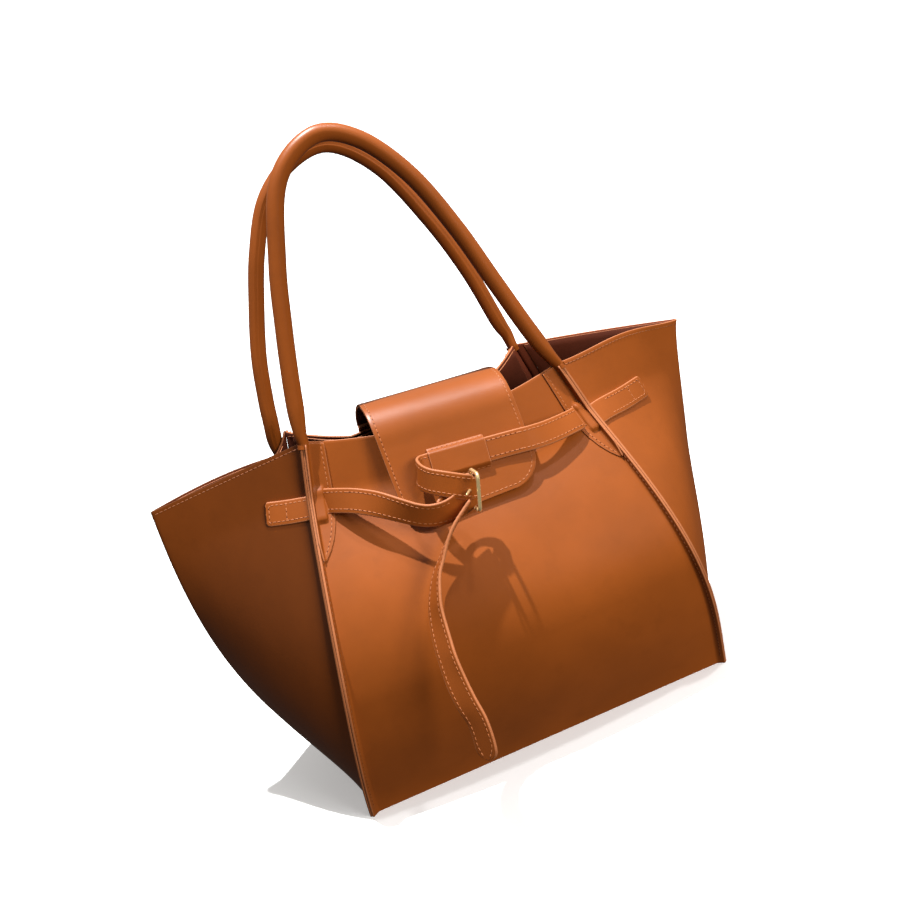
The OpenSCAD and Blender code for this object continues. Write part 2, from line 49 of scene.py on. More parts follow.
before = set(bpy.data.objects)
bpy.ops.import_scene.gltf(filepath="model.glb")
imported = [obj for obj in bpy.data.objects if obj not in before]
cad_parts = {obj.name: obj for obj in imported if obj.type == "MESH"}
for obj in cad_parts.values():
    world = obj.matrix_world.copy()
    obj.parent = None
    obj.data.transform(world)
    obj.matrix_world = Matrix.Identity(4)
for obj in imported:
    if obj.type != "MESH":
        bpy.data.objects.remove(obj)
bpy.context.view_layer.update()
MM = 0.001
LEFT, RIGHT, FRONT, REAR = -1, 1, -1, 1


def metres(name, text, default):
    """A length that a user would change."""
    return FloatProperty(name=name, description=text, default=default, unit="LENGTH", precision=4)


def colour(name, text, default):
    """A colour that a user would change."""
    return FloatVectorProperty(name=name, description=text, default=default, subtype="COLOR", size=3)


class BagBody(bpy.types.PropertyGroup):
    base_w: metres("Base width", "Width of the base", 0.320)
    base_d: metres("Base depth", "Depth of the base", 0.178)
    body_h: metres("Body height", "Height of the corner seams", 0.302)
    top_w: metres("Rim width", "Distance between the corner seams at the rim", 0.218)
    top_d: metres("Rim depth", "Depth between the front and rear corner seams at the rim", 0.106)
    belly: metres("Belly", "How far the corner seams belly out", 0.045)
    panel_swell: metres("Panel swell", "How much further a panel's middle swells", 0.013)
    front_sag: metres("Front sag", "Sag of the front rim at its middle", 0.014)
    rear_sag: metres("Rear sag", "Sag of the rear rim under the flap", 0.018)
    rear_pull: metres("Rear pull", "How far the flap draws the rear rim forward", 0.048)
    corner_drop: metres("Corner drop", "How much lower the front right corner hangs", 0.011)
    rear_drop: metres("Rear drop", "How much lower the rear left corner hangs", 0.004)
    rear_spread: metres("Rear spread", "How far the rear left corner spreads at the rim", 0.009)
    leather_t: metres("Leather thickness", "Thickness of the body leather", 0.002)
    lining_t: metres("Lining thickness", "Thickness of the lining", 0.0008)
    ridge: metres("Ridge", "How far the corner seams stand out", 0.007)


class BagWings(bpy.types.PropertyGroup):
    wing_span: metres("Wing span", "Distance between the two wing tips", 0.496)
    wing_h: metres("Wing height", "Height of the wing tips", 0.281)
    wing_dent: metres("Wing dent", "How far the right wing is pressed in", 0.018)
    wing_puff: metres("Wing puff", "How much the right wing's upper part bulges", 0.013)
    lip_hump: metres("Lip hump", "Height of the hump in the right wing's front lip", 0.006)
    lip_dip: metres("Lip dip", "How far the left wing's rear lip dips", 0.019)


class BagHandles(bpy.types.PropertyGroup):
    handle_d: metres("Handle diameter", "Diameter of the rolled leather tube", 0.014)
    tab_w: metres("Tab width", "How far a handle tab reaches over its panel", 0.014)
    tab_t: metres("Tab thickness", "Thickness of a handle tab", 0.0014)


class BagFlap(bpy.types.PropertyGroup):
    flap_w: metres("Flap width", "Width of the flap", 0.116)
    flap_t: metres("Flap layer", "Thickness of each of the flap's two layers", 0.0014)
    flap_r: metres("Flap corner", "Corner radius of the flap", 0.024)


class BagBelt(bpy.types.PropertyGroup):
    strap_w: metres("Strap width", "Width of the straps", 0.018)
    strap_t: metres("Strap thickness", "Thickness of the straps", 0.0024)


class BagStitches(bpy.types.PropertyGroup):
    pitch: metres("Stitch pitch", "Distance from one stitch to the next", 0.0040)
    thread_d: metres("Thread", "Thickness of the thread", 0.0008)
    inset: metres("Stitch inset", "Distance of a stitch line from its edge", 0.0030)


class BagColours(bpy.types.PropertyGroup):
    tan: colour("Tan leather", "Colour of the smooth leather", (0.225, 0.053, 0.0065))
    raw_edge: colour("Raw edge", "Colour of the cut edges", (0.34, 0.112, 0.040))
    inside: colour("Inside", "Colour of the lining", (0.080, 0.017, 0.007))
    thread: colour("Thread", "Colour of the stitches", (0.36, 0.115, 0.036))
    gold: colour("Gold", "Colour of the buckle", (0.95, 0.70, 0.34))
    floor: colour("Floor", "Colour of the floor", (0.84, 0.84, 0.83))


GROUPS = {"bag_body": BagBody, "bag_wings": BagWings, "bag_handles": BagHandles, "bag_flap": BagFlap,
          "bag_belt": BagBelt, "bag_stitches": BagStitches, "bag_colours": BagColours}


class Sizes:
    """All lengths of the property groups, in millimetres."""

    def __init__(self):
        for group in GROUPS:
            settings = getattr(bpy.context.scene, group)
            for prop in settings.bl_rna.properties:
                if prop.type == "FLOAT" and not prop.is_array:
                    setattr(self, prop.identifier, getattr(settings, prop.identifier) / MM)


# Vectors: every point is in millimetres until a mesh is made
def unit(v):
    return v / np.maximum(np.linalg.norm(v, axis=-1, keepdims=True), 1e-9)


def flat(v):
    """Level directions of unit length."""
    return unit(v * np.array([1.0, 1.0, 0.0]))


def mix(a, b, t):
    return a + (b - a) * t


def points(x, y, z):
    return np.stack(np.broadcast_arrays(x, y, z), axis=-1).astype(float)


def smooth(t):
    """0 to 1 with soft ends."""
    t = np.clip(t, 0, 1)
    return t * t * (3 - 2 * t)


def spline(knots, k):
    """Smooth curve through given points, k steps between two of them."""
    p = np.array(knots, float)
    n = len(p)
    out = []
    for i in range(n - 1):
        a, b, c, d = p[max(0, i - 1)], p[i], p[i + 1], p[min(n - 1, i + 2)]
        for s in range(k):
            t = s / k
            out.append((b * 2 + (c - a) * t + (a * 2 - b * 5 + c * 4 - d) * t ** 2
                        + (b * 3 - a - c * 3 + d) * t ** 3) / 2)
    return np.array(out + [p[-1]])


def lengths(path):
    """Length along a path up to each of its points."""
    return np.concatenate([[0], np.cumsum(np.linalg.norm(np.diff(path, axis=0), axis=1))])


def along(path, s):
    """Points of a path at the lengths s."""
    at = lengths(path)
    return np.stack([np.interp(s, at, path[:, k]) for k in range(path.shape[1])], axis=-1)


# The bag's walls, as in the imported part: v runs from base to rim
BELT_V = 0.86
FLAP_U = 0.55
SEAM_GAP = 0.15
PANEL_RISE, GUSSET_RISE = 290, 285
SEAM_CURVE = 1.6
BELLY_CURVE = 1.2
WING_CURVE = 2.7
SWELL_FROM = 0.35
LEFT_WING_HOLLOW = -4
CREST_STEPS = (1, 0.85, 0.7, 0.55)
BEND_STEPS = (0, 0.3, 0.55, 0.8, 1)


class Walls:
    """Corner seams, panels and gussets as functions of u, w and v."""

    def __init__(self, size):
        self.s = size

    def seam(self, side, face, v):
        s = self.s
        v = np.asarray(v, float)
        low = np.clip(v / BELT_V, 0, 1)
        belly = s.belly * np.maximum(np.sin(math.pi * low), 0) ** BELLY_CURVE
        x = (s.base_w - (s.base_w - s.top_w) * v ** SEAM_CURVE) / 2
        y = (s.base_d - (s.base_d - s.top_d) * v) / 2 + belly
        out = -2 if side == RIGHT else 2 if face == FRONT else s.rear_spread
        return points(side * (x + out * v ** 4), face * y, self.corner_h(side, face) * v)

    def corner_h(self, side, face):
        if side == face:
            return self.s.body_h
        return self.s.body_h - (self.s.corner_drop if side == RIGHT else self.s.rear_drop)

    def panel(self, face, u, v):
        s = self.s
        u, v = np.broadcast_arrays(np.asarray(u, float), np.asarray(v, float))
        m = mix(self.seam(LEFT, face, v), self.seam(RIGHT, face, v), ((u + 1) / 2)[..., None])
        q = 1 - u * u
        under_flap = np.minimum(1, q / (1 - FLAP_U ** 2))
        swell = s.panel_swell * np.sin(math.pi / 2 * np.minimum(1, v / SWELL_FROM)) * q
        pull = s.rear_pull * under_flap * v ** 6 if face == REAR else 0
        sag = s.rear_sag * under_flap if face == REAR else s.front_sag * q
        return m + points(0 * v, face * (swell - pull), -sag * v ** 4)

    def wing_edge(self, side, v):
        s = self.s
        v = np.asarray(v, float)
        out = (s.wing_span - s.base_w) / 2 * (1 - (1 - v) ** WING_CURVE)
        dent = s.wing_dent * np.maximum(np.sin(math.pi * v), 0) ** 0.7 if side == RIGHT else 0
        return points(side * (s.base_w / 2 + out - dent), 0 * v, s.wing_h * v)

    def gusset(self, side, w, v):
        s = self.s
        v = np.asarray(v, float)
        face = FRONT if w < 0 else REAR
        t = 1 - abs(w)
        seam, edge = self.seam(side, face, v), self.wing_edge(side, v)
        middle = (seam + edge) / 2
        out = flat(points(side * abs(seam[..., 1]), face * abs(edge[..., 0] - seam[..., 0]), 0 * v))
        puff = (s.wing_puff if side == RIGHT else LEFT_WING_HOLLOW) * v
        round_off = (0.6 * (1 - v * v))[..., None]
        pulled = points(edge[..., 0], seam[..., 1] * 0.7, middle[..., 2])
        k = mix(middle + out * puff[..., None], pulled, round_off)
        hump = s.lip_hump * math.sin(math.pi * t) ** 2 if side == RIGHT and face == FRONT else 0
        dip = s.lip_dip * (1 - t) ** 2.3 * min(1, t * 8) if side == LEFT and face == REAR else 0
        return (seam * (1 - t) ** 2 + k * (2 * t * (1 - t)) + edge * t ** 2
                + points(0 * v, 0 * v, (hump - dip) * v ** 6))

    def along_panel(self, side, face, v):
        return flat(self.panel(face, side * 0.8, v) - self.seam(side, face, v))

    def along_gusset(self, side, face, v):
        return flat(self.gusset(side, face * 0.85, v) - self.seam(side, face, v))

    def ridge_dir(self, side, face, v):
        return -unit(self.along_panel(side, face, v) + self.along_gusset(side, face, v))

    def corner(self, side, face, v, on_panel):
        """Where the panel's or the gusset's leather turns out along the ridge."""
        a, b = self.along_panel(side, face, v), self.ridge_dir(side, face, v)
        cross = a[..., 0] * b[..., 1] - a[..., 1] * b[..., 0]
        shift = (self.s.leather_t / 2 + SEAM_GAP) / np.abs(cross)
        way = a if on_panel else self.along_gusset(side, face, v)
        return self.seam(side, face, v) + way * shift[..., None]

    def turned_out(self, side, face, v, on_panel, first):
        """Columns from the ridge's crest round its bend to the first point of the wall."""
        c = self.corner(side, face, v, on_panel)
        ridge = self.ridge_dir(side, face, v)
        bend_from, bend_to = c + ridge * 2.4, mix(c, first, 0.35)
        crest = [c + ridge * self.s.ridge * k for k in CREST_STEPS]
        bend = [bend_from * (1 - t) ** 2 + c * 2 * t * (1 - t) + bend_to * t ** 2 for t in BEND_STEPS]
        return crest + bend

    def panel_grid(self, face, v, us, flange=True):
        """Rows of points across a panel; the first and last columns are the ridges' crests."""
        inner = [self.panel(face, u, v) for u in us]
        if flange:
            inner = (self.turned_out(LEFT, face, v, True, inner[0]) + inner
                     + self.turned_out(RIGHT, face, v, True, inner[-1])[::-1])
        return np.stack(inner, axis=1)

    def gusset_grid(self, side, v, ws, flange=True):
        """Rows of points across a gusset from its front to its rear seam, with a folded wing edge."""
        inner = [self.gusset(side, w, v) for w in ws]
        fold = 0.045
        a, b, c = self.gusset(side, -fold, v), self.gusset(side, 0, v), self.gusset(side, fold, v)
        rounded = [a * (1 - t) ** 2 + b * 2 * t * (1 - t) + c * t ** 2 for t in np.linspace(0, 1, 9)]
        half = len(inner) // 2
        inner = inner[:half] + rounded + inner[half:]
        if flange:
            inner = (self.turned_out(side, FRONT, v, False, inner[0]) + inner
                     + self.turned_out(side, REAR, v, False, inner[-1])[::-1])
        return np.stack(inner, axis=1)


def wall_rows(n):
    """Heights as shares of the wall, closer together at the base and the rim."""
    return np.concatenate([[0, 0.004, 0.01], np.linspace(0.02, 0.985, n), [0.993, 1]])


PANEL_US = np.linspace(-0.955, 0.955, 90)
WING_WS = np.concatenate([np.linspace(-0.955, -0.06, 44), np.linspace(0.06, 0.955, 44)])


# Meshes
def grid_normals(grid):
    """Unit normals of a grid of points."""
    du = np.gradient(grid, axis=1)
    dv = np.gradient(grid, axis=0)
    return unit(np.cross(du, dv))


def border(rows, cols):
    """Indices round a grid's edge, in order."""
    top = [(0, j) for j in range(cols)] + [(i, cols - 1) for i in range(1, rows)]
    return top + [(rows - 1, j) for j in range(cols - 2, -1, -1)] + [(i, 0) for i in range(rows - 2, 0, -1)]


def outward(grid, i, j):
    """Direction in the sheet that points out over its edge at a border point."""
    rows, cols = grid.shape[:2]
    way = np.zeros(3)
    if i in (0, rows - 1):
        way = way + unit(grid[i, j] - grid[1 if i == 0 else rows - 2, j])
    if j in (0, cols - 1):
        way = way + unit(grid[i, j] - grid[i, 1 if j == 0 else cols - 2])
    return unit(way)


def new_mesh(name, verts, faces, materials, face_materials=None):
    """A smooth-shaded object from points in millimetres."""
    mesh = bpy.data.meshes.new(name)
    mesh.from_pydata((np.asarray(verts) * MM).tolist(), [], faces)
    for material in materials:
        mesh.materials.append(material)
    if face_materials is not None:
        mesh.polygons.foreach_set("material_index", face_materials)
    mesh.polygons.foreach_set("use_smooth", [True] * len(mesh.polygons))
    mesh.update()
    piece = bpy.data.objects.new(name, mesh)
    bpy.context.scene.collection.objects.link(piece)
    return piece


def volume(verts, faces):
    """Six times the volume inside the faces; below 0 where they point inwards."""
    corners = np.asarray(verts)[[(*f, f[-1])[:4] for f in faces]]
    a, b, c, d = (corners[:, k] for k in range(4))
    return np.sum(a * np.cross(b, c)) + np.sum(a * np.cross(c, d))


def leather(name, grid, thick, face, edge=None, back=None, edge_round=0.5, shift=0.0):
    """Leather of a real thickness on a grid of points, with rounded cut edges.
    The grid's normal side has the material face; shift moves the leather towards that side."""
    rows, cols = grid.shape[:2]
    normal = grid_normals(grid)
    h = thick / 2
    middle = grid + normal * shift
    loop = border(rows, cols)
    rims = []
    for angle in (30, 65, 115, 150):
        a = math.radians(angle)
        rims += [middle[i, j] + normal[i, j] * h * math.cos(a)
                 + outward(grid, i, j) * h * edge_round * math.sin(a) for i, j in loop]
    verts = np.concatenate([(middle + normal * h).reshape(-1, 3), (middle - normal * h).reshape(-1, 3), rims])
    n, m = rows * cols, len(loop)
    faces, slots = [], []
    for i in range(rows - 1):
        for j in range(cols - 1):
            a, b, c, d = i * cols + j, i * cols + j + 1, (i + 1) * cols + j + 1, (i + 1) * cols + j
            faces += [(a, b, c, d), (n + d, n + c, n + b, n + a)]
            slots += [0, 2]
    front = [i * cols + j for i, j in loop]
    rings = [front] + [[2 * n + r * m + k for k in range(m)] for r in range(4)] + [[n + k for k in front]]
    for upper, lower in zip(rings, rings[1:]):
        for k in range(m):
            q = (k + 1) % m
            faces.append((upper[q], upper[k], lower[k], lower[q]))
            slots.append(1)
    if volume(verts, faces) < 0:
        faces = [f[::-1] for f in faces]
    return new_mesh(name, verts, faces, [face, edge or face, back or face], slots)


def squared(path, across):
    """The across vectors turned square to the path."""
    ahead = unit(np.gradient(path, axis=0))
    return unit(across - ahead * np.sum(across * ahead, axis=1, keepdims=True))


def finish_piece(piece, body, slot, *nodes):
    """Names what a piece moves with and the nodes that it stands for; its material slot is not used."""
    if body:
        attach(piece, body)
    if nodes:
        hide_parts(*nodes)
    return piece


# Materials: shader maths is written as expressions on sockets
class Value:
    """A number socket in a node tree, with the usual operators."""

    def __init__(self, shader, socket):
        self.shader, self.socket = shader, socket

    def _math(self, operation, a, b, clamp=False):
        settings = {"operation": operation, "use_clamp": clamp}
        return Value(self.shader, self.shader.node("ShaderNodeMath", settings, {0: a, 1: b}).outputs[0])

    def __add__(self, other):
        return self._math("ADD", self, other)

    def __sub__(self, other):
        return self._math("SUBTRACT", self, other)

    def __rsub__(self, other):
        return self._math("SUBTRACT", other, self)

    def __mul__(self, other):
        return self._math("MULTIPLY", self, other)

    __radd__, __rmul__ = __add__, __mul__

    def clamped(self):
        return self._math("ADD", self, 0.0, clamp=True)

    def above(self, low, high):
        """0 below low, 1 above high, and even between them."""
        return ((self - low) * (1 / (high - low))).clamped()


class Shader:
    """The node tree of a material or a world."""

    def __init__(self, owner):
        self.owner = owner
        owner.use_nodes = True
        self.tree = owner.node_tree

    def node(self, kind, settings=None, inputs=None):
        """Adds a node by its type: first its settings, then the values or links of its sockets."""
        made = self.tree.nodes.new(kind)
        for key, value in (settings or {}).items():
            setattr(made, key, value)
        for key, value in (inputs or {}).items():
            self.put(made.inputs[key], value)
        return made

    def put(self, socket, value):
        if isinstance(value, Value):
            self.tree.links.new(value.socket, socket)
        elif isinstance(value, bpy.types.NodeSocket):
            self.tree.links.new(value, socket)
        elif socket.type == "RGBA" and len(value) == 3:
            socket.default_value = (*value, 1)
        else:
            socket.default_value = value

    def place(self, kind="Object"):
        return self.node("ShaderNodeTexCoord").outputs[kind]

    def noise(self, scale, detail=2.0, rough=0.5):
        made = self.node("ShaderNodeTexNoise", {}, {"Vector": self.place(), "Scale": scale,
                                                    "Detail": detail, "Roughness": rough})
        return Value(self, made.outputs["Fac"])

    def cells(self, scale):
        made = self.node("ShaderNodeTexVoronoi", {"feature": "DISTANCE_TO_EDGE"},
                         {"Vector": self.place(), "Scale": scale})
        return Value(self, made.outputs["Distance"])

    def blend(self, a, b, share):
        return self.node("ShaderNodeMix", {"data_type": "RGBA"}, {0: share, 6: a, 7: b}).outputs[2]

    def bump(self, height, strength, distance, under=None):
        inputs = {"Height": height, "Strength": strength, "Distance": distance}
        if under is not None:
            inputs["Normal"] = under
        return self.node("ShaderNodeBump", {}, inputs).outputs[0]

    def set(self, **sockets):
        for name, value in sockets.items():
            self.put(self.tree.nodes["Principled BSDF"].inputs[name.replace("_", " ")], value)
        return self.owner


def shade(base, factor):
    """A colour made darker or lighter."""
    return tuple(c * factor for c in base)


def smooth_leather(name, tan, glow=1.0, roughness=0.4):
    """Smooth dyed leather: cloudy colour, fine pores and a soft waxed sheen."""
    m = Shader(bpy.data.materials.new(name))
    clouds = m.noise(9, 4, 0.55)
    mottle = m.noise(60, 3, 0.6)
    base = m.blend(shade(tan, 0.82 * glow), shade(tan, 1.12 * glow), clouds.above(0.3, 0.7))
    base = m.blend(base, shade(tan, 0.7 * glow), mottle.above(0.55, 0.8) * 0.25)
    pores = m.cells(1500)
    creases = m.noise(420, 4, 0.6)
    normal = m.bump(pores.above(0.0, 0.25), 0.06, 0.0003)
    normal = m.bump(creases, 0.05, 0.0006, normal)
    normal = m.bump(m.noise(35, 2, 0.5), 0.10, 0.002, normal)
    rough = roughness - 0.05 + clouds * 0.06 + mottle * 0.05
    return m.set(Base_Color=base, Roughness=rough, Specular_IOR_Level=0.32, Coat_Weight=0.05,
                 Coat_Roughness=0.35, Normal=normal)


def cut_edge(name, raw):
    """Cut leather edge: paler, with fibres."""
    m = Shader(bpy.data.materials.new(name))
    fibres = m.noise(900, 4, 0.7)
    base = m.blend(shade(raw, 0.8), shade(raw, 1.1), fibres.above(0.3, 0.7))
    return m.set(Base_Color=base, Roughness=0.5 + fibres * 0.15, Specular_IOR_Level=0.35,
                 Normal=m.bump(fibres, 0.15, 0.0003))


def lining_leather(name, inside):
    """The dark, matt flesh side inside the bag."""
    m = Shader(bpy.data.materials.new(name))
    nap = m.noise(700, 5, 0.7)
    clouds = m.noise(14, 3, 0.5)
    base = m.blend(shade(inside, 0.7), shade(inside, 1.35), clouds.above(0.3, 0.7))
    base = m.blend(base, shade(inside, 1.7), nap.above(0.5, 0.8) * 0.3)
    return m.set(Base_Color=base, Roughness=0.75 + nap * 0.1, Specular_IOR_Level=0.25,
                 Normal=m.bump(nap, 0.2, 0.0005))


def waxed_thread(name, thread):
    """Twisted waxed thread."""
    m = Shader(bpy.data.materials.new(name))
    twist = m.noise(1600, 2, 0.5)
    base = m.blend(shade(thread, 0.75), shade(thread, 1.15), twist.above(0.35, 0.65))
    return m.set(Base_Color=base, Roughness=0.55 + twist * 0.1, Normal=m.bump(twist, 0.3, 0.0002))


def polished_gold(name, gold):
    """Pale polished gold with faint wear."""
    m = Shader(bpy.data.materials.new(name))
    wear = m.noise(180, 4, 0.6)
    base = m.blend(shade(gold, 0.9), gold, wear.above(0.3, 0.6))
    return m.set(Base_Color=base, Metallic=0.72, Roughness=0.24 + wear.above(0.5, 0.8) * 0.12,
                 Normal=m.bump(wear, 0.03, 0.0003))


def fibre_board(name):
    """Raw brown board."""
    m = Shader(bpy.data.materials.new(name))
    fibres = m.noise(260, 5, 0.7)
    base = m.blend((0.16, 0.10, 0.06), (0.30, 0.20, 0.12), fibres)
    return m.set(Base_Color=base, Roughness=0.85 + fibres * 0.1, Normal=m.bump(fibres, 0.2, 0.001))


def pale_floor(name, tone):
    """The plain floor, which glows a little so that its shadows stay light."""
    m = Shader(bpy.data.materials.new(name))
    clouds = m.noise(3, 3, 0.5)
    base = m.blend(shade(tone, 0.985), tone, clouds)
    return m.set(Base_Color=base, Roughness=0.7 + clouds * 0.05, Specular_IOR_Level=0.3,
                 Emission_Color=(1, 0.985, 0.97), Emission_Strength=0.33,
                 Normal=m.bump(m.noise(40, 2, 0.5), 0.02, 0.001))


class Finishes:
    """All materials, made once."""

    def __init__(self):
        c = bpy.context.scene.bag_colours
        tan = tuple(c.tan)
        self.tan = smooth_leather("tan_leather", tan)
        self.tan_handle = smooth_leather("handle_leather", tan, 0.95, 0.36)
        self.edge = cut_edge("raw_edge", tuple(c.raw_edge))
        self.inside = lining_leather("lining_leather", tuple(c.inside))
        self.flesh = lining_leather("flesh_side", shade(tuple(c.inside), 1.5))
        self.thread = waxed_thread("thread", tuple(c.thread))
        self.thread_dark = waxed_thread("body_thread", shade(tuple(c.thread), 0.62))
        # Needle holes: a darker copy of the lining colour, painted as the shade inside each hole.
        self.hole = lining_leather("needle_hole_shade", shade(tuple(c.inside), 0.6))
        self.gold = polished_gold("pale_gold", tuple(c.gold))
        self.board = fibre_board("fibre_board")
        self.floor = pale_floor("pale_floor", tuple(c.floor))


MADE = {}


def finishes():
    """The materials, made at the first call."""
    if "finishes" not in MADE:
        MADE["finishes"] = Finishes()
    return MADE["finishes"]


# Stitches: lines are collected by body, and one Geometry Nodes tree sews each body's lines
def stitch_line(body, path, normal, dark=False):
    """A line of stitches on a surface; path and normal are rows of points and vectors."""
    lines = MADE.setdefault("stitches", {}).setdefault((body, dark), [])
    lines.append((np.array(path), unit(np.array(normal))))


def ring_faces(rings, sides):
    """Faces between rings of points that follow each other."""
    steps = [(i * sides, k, (k + 1) % sides) for i in range(rings - 1) for k in range(sides)]
    return [(at + k, at + q, at + sides + q, at + sides + k) for at, k, q in steps]


def capsule(name, length, radius, flatness, material):
    """A short thread or hole along X, a few dozen faces."""
    rings, sides = 5, 8
    verts = []
    for i in range(rings):
        a = math.pi * (i + 0.5) / rings
        for k in range(sides):
            b = 2 * math.pi * k / sides
            r = radius * math.sin(a) ** 0.5
            verts.append((-length / 2 * math.cos(a), r * math.cos(b), r * math.sin(b) * flatness))
    verts += [(-length / 2, 0, 0), (length / 2, 0, 0)]
    faces = ring_faces(rings, sides)
    end = rings * sides
    faces += [(end, (k + 1) % sides, k) for k in range(sides)]
    faces += [(end + 1, end - sides + k, end - sides + (k + 1) % sides) for k in range(sides)]
    if volume(verts, faces) < 0:
        faces = [f[::-1] for f in faces]
    return new_mesh(name, verts, faces, [material])


def stitch_tree(thread, hole, thread_finish, hole_shade_finish):
    """Sews along mesh edges: a thread on each step and a needle hole between two threads, its dark colour
    painted shade.
    """
    tree = bpy.data.node_groups.new("stitch_row", "GeometryNodeTree")
    tree.interface.new_socket("Geometry", in_out="INPUT", socket_type="NodeSocketGeometry")
    pitch = tree.interface.new_socket("Pitch", in_out="INPUT", socket_type="NodeSocketFloat")
    tree.interface.new_socket("Geometry", in_out="OUTPUT", socket_type="NodeSocketGeometry")
    nodes, links = tree.nodes, tree.links
    start, end = nodes.new("NodeGroupInput"), nodes.new("NodeGroupOutput")
    curve = nodes.new("GeometryNodeMeshToCurve")
    links.new(start.outputs["Geometry"], curve.inputs["Mesh"])
    up = nodes.new("GeometryNodeInputNamedAttribute")
    up.data_type = "FLOAT_VECTOR"
    up.inputs["Name"].default_value = "up"
    tangent = nodes.new("GeometryNodeInputTangent")
    turn = nodes.new("FunctionNodeAxesToRotation")
    turn.primary_axis, turn.secondary_axis = "X", "Z"
    links.new(tangent.outputs[0], turn.inputs["Primary Axis"])
    links.new(up.outputs["Attribute"], turn.inputs["Secondary Axis"])
    join = nodes.new("GeometryNodeJoinGeometry")
    for part, finish, shift in ((thread, thread_finish, 0.0), (hole, hole_shade_finish, 0.5)):
        trim = nodes.new("GeometryNodeTrimCurve")
        trim.mode = "LENGTH"
        half = nodes.new("ShaderNodeMath")
        half.operation = "MULTIPLY"
        half.inputs[1].default_value = shift
        links.new(start.outputs["Pitch"], half.inputs[0])
        links.new(curve.outputs[0], trim.inputs["Curve"])
        links.new(half.outputs[0], trim.inputs[4])
        trim.inputs[5].default_value = 1000.0
        spread = nodes.new("GeometryNodeResampleCurve")
        spread.mode = "LENGTH"
        links.new(trim.outputs[0], spread.inputs["Curve"])
        links.new(start.outputs["Pitch"], spread.inputs["Length"])
        shape = nodes.new("GeometryNodeObjectInfo")
        shape.inputs["Object"].default_value = part
        shape.transform_space = "ORIGINAL"
        place = nodes.new("GeometryNodeInstanceOnPoints")
        links.new(spread.outputs[0], place.inputs["Points"])
        links.new(shape.outputs["Geometry"], place.inputs["Instance"])
        links.new(turn.outputs[0], place.inputs["Rotation"])
        real = nodes.new("GeometryNodeRealizeInstances")
        links.new(place.outputs[0], real.inputs[0])
        dress = nodes.new("GeometryNodeSetMaterial")
        dress.inputs["Material"].default_value = finish
        links.new(real.outputs[0], dress.inputs["Geometry"])
        links.new(dress.outputs[0], join.inputs[0])
    links.new(join.outputs[0], end.inputs["Geometry"])
    return tree, pitch.identifier


def sew(name, body, lines, tree, pitch_id, pitch):
    """One plain mesh with all stitches of a body."""
    verts, edges, ups = [], [], []
    for path, normal in lines:
        first = len(verts)
        verts += (path * MM).tolist()
        ups += normal.tolist()
        edges += [(first + k, first + k + 1) for k in range(len(path) - 1)]
    mesh = bpy.data.meshes.new(name + "_line")
    mesh.from_pydata(verts, edges, [])
    attribute = mesh.attributes.new("up", "FLOAT_VECTOR", "POINT")
    attribute.data.foreach_set("vector", np.array(ups, np.float32).ravel())
    piece = bpy.data.objects.new(name, mesh)
    bpy.context.scene.collection.objects.link(piece)
    sewing = piece.modifiers.new("sewing", "NODES")
    sewing.node_group = tree
    sewing[pitch_id] = pitch * MM
    bpy.context.view_layer.update()
    result = bpy.data.meshes.new_from_object(piece.evaluated_get(bpy.context.evaluated_depsgraph_get()))
    piece.modifiers.clear()
    piece.data = result
    bpy.data.meshes.remove(mesh)
    return finish_piece(piece, body, "tan_leather")


# Straps, flap and keeper are bands: s runs along one, x over its width and d off its face
def dense(corners, step=1.5):
    """Points along a broken line, close together."""
    line = np.array(corners, float)
    total = lengths(line)[-1]
    return along(line, np.linspace(0, total, max(3, int(total / step))))


class Band:
    """A strap of leather along a path; the across vectors point over its width."""

    def __init__(self, path, across, facing):
        self.path = np.array(path, float)
        self.across = squared(self.path, np.array(across, float))
        self.normal = unit(np.cross(self.across, unit(np.gradient(self.path, axis=0))))
        if np.sum(self.normal[0] * np.array(facing)) < 0:
            self.across, self.normal = -self.across, -self.normal
        self.spots = lengths(self.path)
        self.length = self.spots[-1]

    def pick(self, rows, s):
        return np.stack([np.interp(s, self.spots, rows[:, k]) for k in range(3)], axis=-1)

    def at(self, s, x, d=0.0):
        s, x, d = np.broadcast_arrays(np.asarray(s, float), x, d)
        return (self.pick(self.path, s) + unit(self.pick(self.across, s)) * x[..., None]
                + unit(self.pick(self.normal, s)) * d[..., None])

    def grid(self, s, half, cols=9, d=0.0):
        half = np.broadcast_to(np.asarray(half, float), s.shape)
        return self.at(s[:, None], half[:, None] * np.linspace(-1, 1, cols)[None], d)

    def sewn(self, body, corners, d, face=1, dark=False):
        """A stitch line through the corners (s, x) at the distance d off the middle."""
        line = dense(corners)
        normal = self.pick(self.normal, line[:, 0]) * face
        stitch_line(body, self.at(line[:, 0], line[:, 1], d * face), normal, dark)


END_ANGLES = (12, 24, 36, 48, 58, 67, 75, 82, 87, 90)


def rounded_rows(length, radius, start=0.0, step=3.0, both=False):
    """Places along a band with more of them over its rounded end."""
    ends = [length - radius * (1 - math.sin(math.radians(a))) for a in END_ANGLES]
    first = [length - e for e in ends[::-1]] if both else []
    low = first[-1] if both else start
    straight = np.linspace(low, length - radius, int((length - radius - low) / step) + 2)
    return np.concatenate([first[:-1], straight, ends])


def rounded_half(s, half, length, radius, both=False):
    """Half width of a band with a rounded end."""
    def cut(d):
        d = np.clip(d, 0, radius * 0.999)
        return radius - np.sqrt(radius * radius - d * d)
    drop = cut(s - (length - radius))
    if both:
        drop = drop + cut(radius - s)
    return half - drop


# The walls
def made(name, grid, thick, face, edge, back, body, slot, *nodes, shift=0.0, edge_round=0.5):
    """A finished piece of leather on a grid of points."""
    piece = leather(name, grid, thick, face, edge, back, edge_round, shift)
    return finish_piece(piece, body, slot, *nodes)


